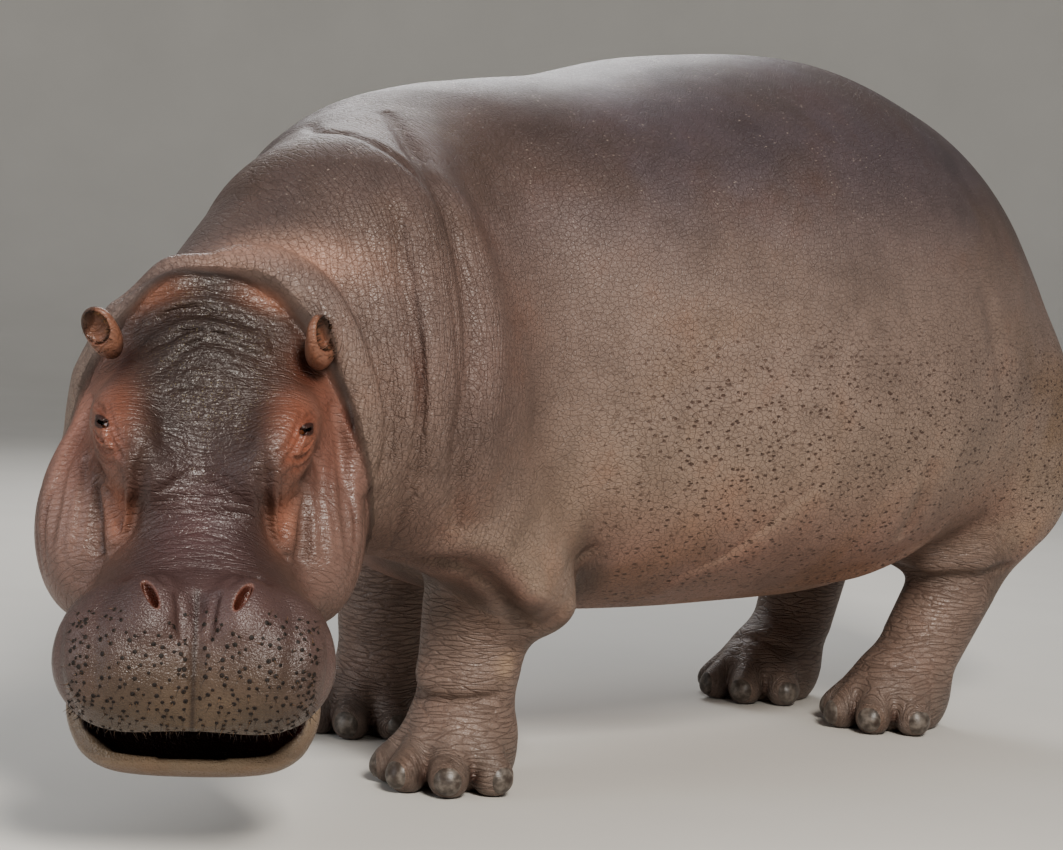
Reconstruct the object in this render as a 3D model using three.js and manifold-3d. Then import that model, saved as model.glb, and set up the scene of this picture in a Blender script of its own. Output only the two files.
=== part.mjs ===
// A still, life-size hippopotamus that stands with its head low and turned to its left.
// Millimetres, +Z up, the head towards -Y, the animal's left towards +X, soles on z = 0.
// The body is one smooth form, a signed distance built from named masses, and each node is a tube or
// ball whose vertices are moved out to that form. Thin cuts part the nodes.

import * as THREE from "three";
import { mergeVertices } from "three/addons/utils/BufferGeometryUtils.js";
import Module from "manifold-3d";

const wasm = await Module();
wasm.setup();

// ---- driving sizes ------------------------------------------------------------------------------

const gap = 0.35; // the cut between two nodes
const proud = 0.7; // how far a cutting tube stands out of the node that it copies
const smallest = 0.15; // edges shorter than this are closed up
const centreShift = [-47.7, 279.3, 0]; // brings the middle of the whole box to the origin

// The trunk: stations from the chest (front) to the rump, y backward.
const trunkStations = {
  y: [-1000, -960, -820, -600, -300, 0, 300, 600, 850, 1020, 1120, 1155],
  halfWidth: [60, 220, 380, 490, 570, 620, 630, 585, 485, 355, 190, 30],
  top: [1050, 1160, 1270, 1390, 1435, 1500, 1525, 1470, 1370, 1240, 1080, 930],
  bottom: [900, 720, 510, 365, 305, 298, 300, 355, 460, 580, 740, 880],
  taper: [0, 0, 0, 0, 0, 0, 0.02, 0.05, 0.09, 0.12, 0.12, 0.1],
};

// The head, in its own frame: y runs backward from the muzzle, z up from the line between the ears.
const headPlace = { at: [334, -1419, 840], yaw: 52.4, pitch: 49.8 };
const headStations = {
  y: [-655, -643, -604, -540, -475, -400, -320, -220, -100, 20, 140],
  halfWidth: [40, 130, 190, 216, 208, 182, 178, 200, 225, 210, 170],
  top: [-110, -80, -38, -10, -8, -28, -35, -5, 30, 45, 20],
  bottom: [-130, -150, -185, -212, -230, -262, -330, -400, -430, -430, -400],
  waist: [0.5, 0.5, 0.5, 0.45, 0.45, 0.42, 0.4, 0.4, 0.4, 0.42, 0.45],
  taper: [0, 0, 0, 0.03, 0.08, 0.2, 0.28, 0.22, 0.14, 0.1, 0.1],
  power: [2.4, 2.6, 2.9, 3, 2.8, 2.5, 2.3, 2.3, 2.3, 2.2, 2.2],
};
const jawStations = {
  y: [-622, -612, -570, -490, -390, -280, -160, -60],
  halfWidth: [70, 140, 192, 216, 209, 195, 175, 150],
  top: [-318, -304, -296, -286, -276, -268, -280, -300],
  bottom: [-340, -360, -388, -412, -424, -430, -430, -420],
  waist: [0.6, 0.6, 0.6, 0.6, 0.55, 0.5, 0.5, 0.5],
  power: [2.4, 2.5, 2.6, 2.6, 2.5, 2.4, 2.3, 2.3],
};
// the hollow inside the lower lip
const mouthStations = {
  y: [-606, -596, -552, -480, -400, -330],
  halfWidth: [55, 127, 181, 205, 197, 155],
  top: [-262, -250, -236, -236, -240, -262],
  bottom: [-318, -332, -338, -334, -322, -300],
  power: [2.4, 2.5, 2.6, 2.6, 2.5, 2.4],
};
const headBack = 60; // y of the cut between head and neck, in the head's frame
const neckFront = -720; // y of the cut between neck and trunk

// Each foot: the middle of its sole, its side, and how far it is turned to the animal's left.
const feet = {
  fore_left: { at: [215, -690], side: 1, heading: 23, fore: true, elbow: true },
  fore_right: { at: [-310, -450], side: -1, heading: 8, fore: true },
  hind_left: { at: [270, 640], side: 1, heading: 0, knee: [300, 870] },
  hind_right: { at: [-150, 680], side: -1, heading: 0, knee: [-290, 830] },
};
const toeAngles = [-66, -22, 22, 66];
const toeReach = 118; // from the middle of the foot to the middle of a toe's tip
const nailReach = 137;
const footStretch = 1.06; // a foot is a little longer than it is wide

// ---- looks --------------------------------------------------------------------------------------

const looks = {
  hide: [0x8a7168, 0.62],
  face: [0x7a5f58, 0.5],
  lip: [0x9a8070, 0.5],
  eye: [0x1c120c, 0.1],
  nail: [0x6f655c, 0.35],
};

const material = (name) =>
  new THREE.MeshStandardMaterial({
    color: looks[name][0],
    roughness: looks[name][1],
    metalness: 0,
  });

// ---- frames -------------------------------------------------------------------------------------

const radians = THREE.MathUtils.degToRad;

// A local frame: x to the animal's left, y backward, z up. Yaw turns its front left, pitch lowers it.
function frame(at, yaw = 0, pitch = 0) {
  const [a, b] = [radians(yaw), radians(pitch)];
  const x = new THREE.Vector3(Math.cos(a), Math.sin(a), 0);
  const y = new THREE.Vector3(
    -Math.sin(a) * Math.cos(b),
    Math.cos(a) * Math.cos(b),
    Math.sin(b),
  );
  const z = new THREE.Vector3().crossVectors(x, y);
  const out = new THREE.Matrix4().makeBasis(x, y, z).setPosition(...at);
  return { out, in: out.clone().invert() };
}

const body = frame([0, 0, 0]);
const head = frame(headPlace.at, headPlace.yaw, headPlace.pitch);
const placed = (where, point) =>
  new THREE.Vector3(...point).applyMatrix4(where.out);

// ---- forms: functions of a point that are negative inside ---------------------------------------

// A smooth union: the two forms melt together over the distance k.
function melt(a, b, k) {
  const h = Math.max(k - Math.abs(a - b), 0) / k;
  return Math.min(a, b) - h * h * k * 0.25;
}

const mirrored = (p, twin) => (twin ? [Math.abs(p.x), p.y, p.z] : [p.x, p.y, p.z]);

// An ellipsoid. Yaw turns it about its frame's z, and a twin is mirrored across the frame's middle.
function ball(where, centre, radii, { twin = false, yaw = 0 } = {}) {
  const local = new THREE.Vector3();
  const [cos, sin] = [Math.cos(radians(yaw)), Math.sin(radians(yaw))];
  return (point) => {
    const p = mirrored(local.copy(point).applyMatrix4(where.in), twin);
    const [x, y, z] = p.map((value, i) => value - centre[i]);
    const turned = [cos * x + sin * y, cos * y - sin * x, z];
    const first = turned.reduce((sum, d, i) => sum + (d / radii[i]) ** 2, 0);
    const second = turned.reduce((sum, d, i) => sum + (d / radii[i] ** 2) ** 2, 0);
    const k = Math.sqrt(first);
    return (k * (k - 1)) / Math.max(Math.sqrt(second), 1e-9);
  };
}

// A chain of round cones through the points.
function chain(where, points, radii) {
  const local = new THREE.Vector3();
  return (point) => {
    const p = local.copy(point).applyMatrix4(where.in).toArray();
    let best = Infinity;
    for (let i = 0; i + 1 < points.length; i++) {
      const [a, b] = [points[i], points[i + 1]];
      const ab = [b[0] - a[0], b[1] - a[1], b[2] - a[2]];
      const ap = [p[0] - a[0], p[1] - a[1], p[2] - a[2]];
      const length2 = ab[0] ** 2 + ab[1] ** 2 + ab[2] ** 2;
      const along = (ap[0] * ab[0] + ap[1] * ab[1] + ap[2] * ab[2]) / length2;
      const t = Math.min(Math.max(along, 0), 1);
      const away = Math.hypot(ap[0] - t * ab[0], ap[1] - t * ab[1], ap[2] - t * ab[2]);
      best = Math.min(best, away - radii[i] - t * (radii[i + 1] - radii[i]));
    }
    return best;
  };
}

// Monotone cubic slopes (Fritsch and Carlson) keep a curve through stations from overshooting.
function smoothRow(knots, values) {
  const steps = knots.slice(1).map((k, i) => k - knots[i]);
  const rises = steps.map((step, i) => (values[i + 1] - values[i]) / step);
  const slopes = values.map((_, i) => {
    if (i === 0) return rises[0];
    if (i === values.length - 1) return rises[i - 1];
    const [a, b] = [rises[i - 1], rises[i]];
    if (a * b <= 0) return 0;
    const [wa, wb] = [2 * steps[i] + steps[i - 1], steps[i] + 2 * steps[i - 1]];
    return (wa + wb) / (wa / a + wb / b);
  });
  return (at) => {
    let i = 0;
    while (i < steps.length - 1 && at > knots[i + 1]) i++;
    const [u, h] = [(at - knots[i]) / steps[i], steps[i]];
    return (
      (1 + 2 * u) * (1 - u) ** 2 * values[i] +
      u * (1 - u) ** 2 * h * slopes[i] +
      u * u * (3 - 2 * u) * values[i + 1] +
      u * u * (u - 1) * h * slopes[i + 1]
    );
  };
}

// A body of superellipse sections whose half width, top and bottom run smoothly through stations.
const loftSamples = 400;
const steepest = 1.2; // the slope past which an end counts as blunt
function loft(where, stations) {
  const fill = (name, value) => stations[name] ?? stations.y.map(() => value);
  const knots = [0];
  for (let i = 1; i < stations.y.length; i++) {
    const run = stations.y[i] - stations.y[i - 1];
    const spread = stations.halfWidth[i] - stations.halfWidth[i - 1];
    knots.push(knots[i - 1] + Math.hypot(run, spread));
  }
  const rows = [stations.y, stations.halfWidth, stations.top, stations.bottom];
  rows.push(fill("waist", 0.47), fill("taper", 0), fill("power", 2.25));
  const curves = rows.map((row) => smoothRow(knots, row));
  const table = [];
  for (let i = 0; i <= loftSamples; i++) {
    const at = (knots.at(-1) * i) / loftSamples;
    table.push(curves.map((curve) => curve(at)));
  }
  const [first, last] = [table[0][0], table.at(-1)[0]];
  const section = (y) => {
    const at = Math.min(Math.max(y, first), last);
    let [low, high] = [0, loftSamples];
    while (high - low > 1) {
      const middle = (low + high) >> 1;
      if (table[middle][0] <= at) low = middle;
      else high = middle;
    }
    const share = (at - table[low][0]) / Math.max(table[high][0] - table[low][0], 1e-9);
    return table[low].map((value, i) => value + share * (table[high][i] - value));
  };
  const spread = (x, y, z) => {
    const [, halfWidth, top, bottom, waist, taper, power] = section(y);
    const middle = bottom + waist * (top - bottom);
    const height = z > middle ? top - middle : middle - bottom;
    const level = (z - middle) / height;
    const width = halfWidth * (1 - taper * Math.min(Math.max(level, -1.2), 1.2));
    return (Math.abs(x / width) ** power + Math.abs(level) ** power) ** (1 / power);
  };
  const local = new THREE.Vector3();
  const e = 4;
  return (point) => {
    const { x, y, z } = local.copy(point).applyMatrix4(where.in);
    const q = spread(x, y, z);
    const across = Math.hypot(spread(x + e, y, z) - q, spread(x, y, z + e) - q) / e;
    const slope = Math.min(Math.abs(spread(x, y + e, z) - q) / e / across, steepest);
    const d = (q - 1) / (across * Math.hypot(1, slope));
    const over = Math.max(first - y, y - last);
    return over > 0 ? Math.hypot(Math.max(d, 0), over) : d;
  };
}

// Forms join one after another, each melting into those before it over its own distance.
const joined = (parts) => (point) =>
  parts.reduce((value, [form, k]) => melt(value, form(point), k), 1e4);

// ---- the masses of the animal -------------------------------------------------------------------

const trunkParts = [[loft(body, trunkStations), 1]];

// The flap of the upper arm hangs over the left fore leg and ends in a lump behind the elbow.
const elbowPath = [[290, -900, 660], [335, -800, 555], [362, -690, 450], [366, -600, 378]];
const elbowFlap = [chain(body, elbowPath, [150, 130, 90, 54]), 120];

// Two thick cords of muscle carry the head, and a roll of skin lies round its back.
function neckParts() {
  const nape = placed(head, [0, 20, -180]).toArray();
  const throat = placed(head, [0, 0, -300]).toArray();
  const upper = [[0, -720, 1020], [187, -1000, 975], nape];
  const lower = [[40, -700, 860], [240, -960, 790], throat];
  const leftRoll = [[-50, 130, 0], [110, 140, -10], [200, 110, -60], [265, 50, -140], [285, 0, -260]];
  const rightRoll = [[-50, 130, 0], [-130, 100, -50], [-175, 60, -150], [-190, 20, -280]];
  return [
    [chain(body, upper, [330, 285, 215]), 100],
    [chain(body, lower, [360, 300, 225]), 100],
    [chain(head, leftRoll, [60, 72, 78, 74, 60]), 40],
    [chain(head, rightRoll, [60, 62, 60, 55]), 45],
  ];
}

const twin = true;
const headParts = [
  [loft(head, headStations), 50],
  [ball(head, [190, -170, -270], [100, 170, 150], { twin }), 50], // jowls
  [ball(head, [124, -165, -16], [52, 100, 53], { twin, yaw: -22 }), 90], // brows over the eyes
  [ball(head, [123, -182, 10], [36, 62, 34], { twin, yaw: -22 }), 30],
  [ball(head, [115, -530, -108], [104, 110, 99], { twin }), 50], // muzzle lobes
  [ball(head, [72, -495, -12], [44, 60, 34], { twin }), 30], // nostril mounds
];

const jawParts = [[loft(head, jawStations), 1]];

const footFrame = (leg) => frame([...leg.at, 0], leg.heading);

// The point at a height and a reach from the foot's middle, the way that a toe points.
const toePoint = (angle, reach, z) => {
  const a = radians(angle);
  return [Math.sin(a) * reach, -Math.cos(a) * reach * footStretch, z];
};

function footParts(leg) {
  const where = footFrame(leg);
  const toes = toeAngles.map((angle) => {
    const points = [toePoint(angle, 30, 110), toePoint(angle, 70, 82), toePoint(angle, toeReach, 38)];
    return [chain(where, points, [50, 44, 41]), 18];
  });
  return [
    [ball(where, [0, 25, 50], [108, 122, 85]), 50],
    [ball(where, [0, 30, 105], [100, 105, 80]), 50],
    ...toes,
  ];
}

function foreLegParts({ at: [x, y], side, elbow }) {
  const points = [
    [x + 60 * side, y + 120, 820],
    [x + 30 * side, y + 70, 550],
    [x + 10 * side, y + 35, 360],
    [x + 4 * side, y + 30, 240],
    [x, y + 22, 140],
  ];
  const leg = [chain(body, points, [200, 140, 106, 102, 92]), 60];
  return elbow ? [leg, elbowFlap] : [leg];
}

const hip = ([x, y]) => [ball(body, [x * 0.92, y - 50, 740], [200, 220, 280]), 150];

function hindLegParts({ at: [x, y], side, knee }) {
  const [kneeX, kneeY] = knee;
  const points = [
    [kneeX, kneeY, 760],
    [kneeX, kneeY + 55, 500],
    [x + 12 * side, (y + 190 + kneeY) / 2, 330],
    [x + 4 * side, y + 110, 190],
    [x, y + 70, 120],
  ];
  // the hem of skin that hangs over the knee
  const hem = [
    [x - 70 * side, y + 100, 420],
    [x + 40 * side, y + 90, 405],
    [x + 100 * side, y + 150, 420],
    [x + 120 * side, y + 240, 455],
  ];
  return [
    hip(knee),
    [ball(body, [kneeX + 35 * side, kneeY + 80, 570], [150, 160, 150]), 120],
    [chain(body, points, [200, 124, 102, 96, 90]), 90],
    [chain(body, hem, [45, 55, 55, 45]), 70],
  ];
}

const legParts = (leg) => [...(leg.fore ? foreLegParts(leg) : hindLegParts(leg)), ...footParts(leg)];

// ---- meshes moved onto a form -------------------------------------------------------------------

// Where a ray that starts inside the form leaves it for good, within reach.
function surfaceDistance(form, start, direction, reach) {
  const point = new THREE.Vector3();
  const value = (d) => form(point.copy(start).addScaledVector(direction, d));
  let outside = reach;
  let d = value(outside);
  while (d > 0.5 && outside > 1) {
    outside -= Math.max(0.6 * d, 2);
    d = value(Math.max(outside, 0));
  }
  let [low, high] = [Math.max(outside, 0), Math.min(Math.max(outside, 0) + 8, reach)];
  for (let i = 0; i < 12; i++) {
    const middle = (low + high) / 2;
    if (value(middle) < 0) low = middle;
    else high = middle;
  }
  return Math.max(low, 1);
}

// A closed tube of rings. Each ring has a centre, two axes in its plane and a reach. Extra makes the
// same tube stand a little proud, to cut a neighbour with.
function tube(form, rings, sides, extra = 0) {
  const rows = rings.length - 1;
  const geometry = new THREE.CylinderGeometry(1, 1, 1, sides, rows);
  const position = geometry.attributes.position;
  const [v, direction] = [new THREE.Vector3(), new THREE.Vector3()];
  for (let i = 0; i < position.count; i++) {
    v.fromBufferAttribute(position, i);
    const ring = rings[Math.round((0.5 - v.y) * rows)];
    const middle = Math.hypot(v.x, v.z) < 0.5;
    direction.copy(ring.left).multiplyScalar(v.x).addScaledVector(ring.up, -v.z);
    const out = middle ? 0 : surfaceDistance(form, ring.centre, direction, ring.reach);
    v.copy(ring.centre).addScaledVector(direction, middle ? 0 : out + extra);
    position.setXYZ(i, v.x, v.y, v.z);
  }
  return geometry;
}

// Rings square to a frame's y axis, at stations of y, each about the section's own middle.
function ringsAlong(where, ys, centreOf, reach) {
  const [left, up] = [new THREE.Vector3(), new THREE.Vector3()];
  where.out.extractBasis(left, new THREE.Vector3(), up);
  return ys.map((y) => {
    const [x, z] = centreOf(y);
    return { centre: placed(where, [x, y, z]), left, up, reach };
  });
}

const between = (a, b, count) =>
  Array.from({ length: count + 1 }, (_, i) => a + ((b - a) * i) / count);

// Stations that crowd towards b, for an end that is round there.
const roundingTo = (a, b, count) =>
  between(0, 1, count).map((t) => a + (b - a) * Math.sin((t * Math.PI) / 2));

function solid(geometry) {
  const bare = geometry.clone();
  bare.deleteAttribute("normal");
  bare.deleteAttribute("uv");
  const merged = mergeVertices(bare, 1e-3);
  const mesh = new wasm.Mesh({
    numProp: 3,
    vertProperties: new Float32Array(merged.attributes.position.array),
    triVerts: new Uint32Array(merged.index.array),
  });
  const made = new wasm.Manifold(mesh);
  return made.volume() < 0 ? solid(flipped(geometry)) : made;
}

function flipped(geometry) {
  const turned = geometry.clone();
  const index = turned.index;
  for (let i = 0; i < index.count; i += 3) {
    const first = index.getX(i);
    index.setX(i, index.getX(i + 1));
    index.setX(i + 1, first);
  }
  return turned;
}

function geometryOf(made) {
  const { vertProperties, triVerts } = made.getMesh();
  const geometry = new THREE.BufferGeometry();
  geometry.setAttribute("position", new THREE.BufferAttribute(vertProperties, 3));
  geometry.setIndex(new THREE.BufferAttribute(triVerts, 1));
  geometry.computeVertexNormals();
  return geometry;
}

const cut = (piece, ...others) => others.reduce((rest, other) => rest.subtract(other), piece);
const largest = (piece) =>
  piece.decompose().sort((a, b) => b.volume() - a.volume())[0];

const turnOf = (degrees) =>
  new THREE.Matrix4().makeRotationFromEuler(new THREE.Euler(...degrees.map(radians), "ZYX"));

function ellipsoid(where, centre, radii, around = 12, rows = 8, turn = [0, 0, 0]) {
  const geometry = new THREE.SphereGeometry(1, around, rows).rotateX(Math.PI / 2);
  geometry.scale(...radii);
  geometry.applyMatrix4(turnOf(turn));
  return geometry.translate(...centre).applyMatrix4(where.out);
}

// ---- trunk, neck, head and jaw ------------------------------------------------------------------

const shoulder = ({ at: [x, y], side }) => [
  ball(body, [x + 60 * side, y + 120, 820], [200, 200, 200]),
  60,
];
const limbRoots = Object.values(feet).map((leg) => (leg.fore ? shoulder(leg) : hip(leg.knee)));
const bodyForm = joined([...trunkParts, ...limbRoots, ...neckParts(), ...headParts]);

const trunkMiddle = smoothRow([-1000, -300, 300, 800, 1155], [960, 900, 900, 920, 930]);
const trunkYs = [
  ...between(neckFront + gap / 2, 500, 8),
  ...roundingTo(500, 1154, 9).slice(1),
];
const trunkRings = ringsAlong(body, trunkYs, (y) => [0, trunkMiddle(y)], 900);
const trunkOf = (extra) => solid(tube(bodyForm, trunkRings, 32, extra));

// The neck's rings swing from the trunk's frame to the head's.
function neckRings(count) {
  const from = new THREE.Quaternion().setFromRotationMatrix(body.out);
  const to = new THREE.Quaternion().setFromRotationMatrix(head.out);
  const start = new THREE.Vector3(0, neckFront - gap / 2, 930);
  const end = placed(head, [0, headBack + gap / 2, -180]);
  const path = new THREE.CubicBezierCurve3(
    start,
    start.clone().add(new THREE.Vector3(20, -230, -10)),
    end.clone().add(new THREE.Vector3(-150, 140, 110)),
    end,
  );
  return between(0, 1, count).map((t) => {
    const turn = from.clone().slerp(to, t);
    return {
      centre: path.getPoint(t),
      left: new THREE.Vector3(1, 0, 0).applyQuaternion(turn),
      up: new THREE.Vector3(0, 0, 1).applyQuaternion(turn),
      reach: 560,
    };
  });
}

const neckOf = (extra) => solid(tube(bodyForm, neckRings(7), 32, extra));

const headYs = [...between(headBack - gap / 2, -480, 14), ...roundingTo(-480, -654, 7).slice(1)];
const headMiddle = (y) => [0, y < -300 ? -140 : -140 - 40 * Math.min((y + 300) / 200, 1)];
const headRings = ringsAlong(head, headYs, headMiddle, 430);
const headOf = (extra) => solid(tube(bodyForm, headRings, 32, extra));

const jawYs = [...between(-120, -520, 8), ...roundingTo(-520, -621, 5).slice(1)];
const jawRings = ringsAlong(head, jawYs, () => [0, -345], 300);
const mouthYs = [...between(-332, -540, 4), ...roundingTo(-540, -605, 4).slice(1)];
const mouthRings = ringsAlong(head, mouthYs, () => [0, -287], 300);

// ---- eyes, ears, nostrils, nails ----------------------------------------------------------------

const eye = { at: [150, -160, 11], radius: 23 };
const ears = {
  left: { at: [186, 10, 68], turn: [-20, 22, 62] },
  right: { at: [-184, 10, 68], turn: [-20, -24, -10] },
};
const ear = { radii: [31, 17, 37], root: [4, 4, -34], rootRadii: [24, 22, 30] };
const earCup = { at: [0, -16, 6], radii: [25, 17, 31] };
const nostril = { at: [73, -490, 20], radii: [8, 27, 17], turn: [0, -18, -25] };
const nail = { height: 38, radii: [30, 26, 31] };
const mirrorX = ([x, y, z], side) => [x * side, y, z];
const mirrorTurn = ([x, y, z], side) => [x, y * side, z * side];
const sides = { left: 1, right: -1 };

const eyeBall = (side, extra = 0) => {
  const radius = eye.radius + extra;
  return solid(ellipsoid(head, mirrorX(eye.at, side), [radius, radius, radius], 10, 6));
};

function earShell({ at, turn }) {
  const part = (offset, radii, around, rows) => {
    const middle = new THREE.Vector3(...offset).applyMatrix4(turnOf(turn)).add(new THREE.Vector3(...at));
    return solid(ellipsoid(head, middle.toArray(), radii, around, rows, turn));
  };
  const shell = part([0, 0, 0], ear.radii, 9, 6).add(part(ear.root, ear.rootRadii, 6, 4));
  return cut(shell, part(earCup.at, earCup.radii, 7, 5));
}

const nostrilPit = (side) =>
  solid(ellipsoid(head, mirrorX(nostril.at, side), nostril.radii, 7, 5, mirrorTurn(nostril.turn, side)));

function nailOf(leg, index, extra = 0) {
  const radii = nail.radii.map((radius) => radius + extra);
  const middle = toePoint(toeAngles[index], nailReach, nail.height);
  return solid(ellipsoid(footFrame(leg), middle, radii, 7, 5, [0, 0, toeAngles[index]]));
}

// ---- legs and tail ------------------------------------------------------------------------------

function legRings(leg) {
  const [x, y] = leg.at;
  const { top, lean } = leg.fore
    ? { top: 640, lean: smoothRow([0, 200, 360, 550, 820], [0, 20, 35, 70, 120]) }
    : { top: 700, lean: smoothRow([0, 190, 330, 500, 760], [15, 95, 150, 270, 260]) };
  const aside = leg.fore ? 60 * leg.side : leg.knee[0] - x;
  const zs = [0, 24, 48, 75, 105, 140, ...between(180, top, 7)];
  return zs.map((z) => ({
    centre: new THREE.Vector3(x + (aside * z) / 800, y + lean(z), z),
    left: new THREE.Vector3(1, 0, 0),
    up: new THREE.Vector3(0, 1, 0),
    reach: 340,
  }));
}

const tailPoints = [[0, 1100, 1010], [0, 1178, 900], [0, 1196, 780], [8, 1190, 660]];
const tailForm = chain(body, tailPoints, [55, 42, 30, 16]);
const tailRings = between(1040, 650, 8).map((z) => {
  const y = smoothRow([640, 660, 780, 900, 1010, 1050], [1190, 1190, 1196, 1178, 1110, 1090])(z);
  return {
    centre: new THREE.Vector3(z < 700 ? 8 : 0, y, z),
    left: new THREE.Vector3(1, 0, 0),
    up: new THREE.Vector3(0, 1, 0),
    reach: 100,
  };
});

// ---- the group ----------------------------------------------------------------------------------

const group = new THREE.Group();
group.position.set(...centreShift);

function add(name, piece, look) {
  const mesh = new THREE.Mesh(geometryOf(largest(piece.simplify(smallest))), material(look));
  mesh.name = name;
  group.add(mesh);
}

const trunkSolid = trunkOf(0);
const trunkGrown = trunkOf(proud);
add("trunk", trunkSolid, "hide");
const neckSolid = neckOf(0);
add("neck", neckSolid, "hide");
const neckGrown = neckOf(proud).add(neckSolid);

const headWhole = headOf(0);
const headGrown = headOf(proud);
const sideList = Object.values(sides);
const hollow = solid(tube(loft(head, mouthStations), mouthRings, 14));
const jawSolid = solid(tube(joined(jawParts), jawRings, 20));
add(
  "head",
  cut(headWhole, ...sideList.map((side) => eyeBall(side, gap)), ...sideList.map(nostrilPit)),
  "face",
);
add("jaw", largest(cut(jawSolid, headGrown, neckGrown, hollow)), "lip");

for (const [name, side] of Object.entries(sides)) {
  add(`eye_${name}`, eyeBall(side), "eye");
  add(`ear_${name}`, largest(cut(earShell(ears[name]), headGrown, neckGrown)), "face");
}

add("tail", largest(cut(solid(tube(tailForm, tailRings, 8)), trunkGrown)), "hide");

for (const [name, leg] of Object.entries(feet)) {
  const legForm = joined(legParts(leg));
  const nails = toeAngles.map((_, i) => nailOf(leg, i, gap));
  const whole = solid(tube(legForm, legRings(leg), 17));
  add(`leg_${name}`, largest(cut(whole, trunkGrown, neckGrown, headGrown, ...nails)), "hide");
  toeAngles.forEach((_, i) => add(`nail_${name}_${i + 1}`, nailOf(leg, i), "nail"));
}

export default group;
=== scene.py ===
"""A still, life-size hippopotamus: one skin, with eyes, nails and bristles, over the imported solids.

Metres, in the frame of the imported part: the floor is z = 0, the head points to -Y and the animal's
left is +X. The skin is the zero level of a field that is built the way clay is: masses of flesh melt
together, hollows are carved, and folds are pressed in.
"""

from concurrent.futures import ThreadPoolExecutor

import bpy
import numpy as np
from mathutils import Matrix, Vector


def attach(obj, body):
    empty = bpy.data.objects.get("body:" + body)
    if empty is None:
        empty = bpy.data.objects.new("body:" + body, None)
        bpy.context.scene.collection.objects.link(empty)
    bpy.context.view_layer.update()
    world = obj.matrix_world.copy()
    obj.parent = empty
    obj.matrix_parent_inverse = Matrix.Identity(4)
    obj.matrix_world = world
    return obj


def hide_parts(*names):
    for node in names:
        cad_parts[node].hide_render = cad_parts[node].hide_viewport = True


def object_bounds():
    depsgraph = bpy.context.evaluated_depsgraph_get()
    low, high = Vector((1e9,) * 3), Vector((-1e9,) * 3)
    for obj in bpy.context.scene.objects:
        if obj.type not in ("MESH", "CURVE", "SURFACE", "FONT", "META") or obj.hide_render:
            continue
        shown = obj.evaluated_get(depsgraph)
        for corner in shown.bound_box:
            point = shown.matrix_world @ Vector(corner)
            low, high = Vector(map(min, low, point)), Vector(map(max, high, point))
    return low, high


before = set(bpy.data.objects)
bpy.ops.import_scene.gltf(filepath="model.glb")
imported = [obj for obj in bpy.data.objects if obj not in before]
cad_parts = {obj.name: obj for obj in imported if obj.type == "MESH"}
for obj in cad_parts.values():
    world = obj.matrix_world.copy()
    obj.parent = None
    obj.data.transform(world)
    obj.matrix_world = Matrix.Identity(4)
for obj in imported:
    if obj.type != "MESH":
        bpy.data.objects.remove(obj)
cad_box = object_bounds()

# ---- places -------------------------------------------------------------------------------------

SHIFT = np.array([-0.0477, 0.2793, 0.0])  # from the point that the body is laid out from to the origin
HEAD_AT = (0.334, -1.419, 0.840)  # midway between the ears
HEAD_YAW, HEAD_PITCH = 52.4, 49.8  # degrees to the animal's left, and down


class Place:
    """A local frame: x to the left, y backward, z up. Yaw turns its front left, pitch lowers it."""

    def __init__(self, origin, yaw=0.0, pitch=0.0):
        a, b = np.radians([yaw, pitch])
        x = np.array([np.cos(a), np.sin(a), 0])
        y = np.array([-np.sin(a) * np.cos(b), np.cos(a) * np.cos(b), np.sin(b)])
        self.origin = SHIFT + origin
        self.axes = np.array([x, y, np.cross(x, y)])

    def inside(self, points):
        """World points in this frame."""
        return (points - self.origin.astype(points.dtype)) @ self.axes.T.astype(points.dtype)

    def outside(self, points):
        """This frame's points in the world."""
        return self.origin + np.asarray(points, float) @ self.axes

    def turned(self, directions):
        """This frame's directions in the world."""
        return np.asarray(directions, float) @ self.axes


BODY = Place((0, 0, 0))
HEAD = Place(HEAD_AT, HEAD_YAW, HEAD_PITCH)

# ---- driving sizes ------------------------------------------------------------------------------

TRUNK = dict(
    y=[-1.00, -0.96, -0.82, -0.60, -0.30, 0.00, 0.30, 0.60, 0.85, 1.02, 1.12, 1.155],
    half_width=[0.06, 0.22, 0.38, 0.49, 0.57, 0.62, 0.63, 0.585, 0.485, 0.355, 0.190, 0.03],
    top=[1.05, 1.16, 1.27, 1.39, 1.435, 1.50, 1.525, 1.47, 1.37, 1.24, 1.08, 0.93],
    bottom=[0.90, 0.72, 0.51, 0.365, 0.305, 0.298, 0.300, 0.355, 0.46, 0.58, 0.74, 0.88],
    taper=[0, 0, 0, 0, 0, 0, 0.02, 0.05, 0.09, 0.12, 0.12, 0.1],
)
SKULL = dict(
    y=[-0.655, -0.643, -0.604, -0.540, -0.475, -0.400, -0.320, -0.220, -0.100, 0.020, 0.140],
    half_width=[0.04, 0.13, 0.190, 0.216, 0.208, 0.182, 0.178, 0.200, 0.225, 0.21, 0.17],
    top=[-0.11, -0.080, -0.038, -0.010, -0.008, -0.028, -0.035, -0.005, 0.030, 0.045, 0.02],
    bottom=[-0.130, -0.150, -0.185, -0.212, -0.230, -0.262, -0.330, -0.40, -0.43, -0.43, -0.40],
    waist=[0.5, 0.5, 0.5, 0.45, 0.45, 0.42, 0.40, 0.40, 0.40, 0.42, 0.45],
    taper=[0, 0, 0, 0.03, 0.08, 0.20, 0.28, 0.22, 0.14, 0.10, 0.10],
    power=[2.4, 2.6, 2.9, 3.0, 2.8, 2.5, 2.3, 2.3, 2.3, 2.2, 2.2],
)
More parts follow.
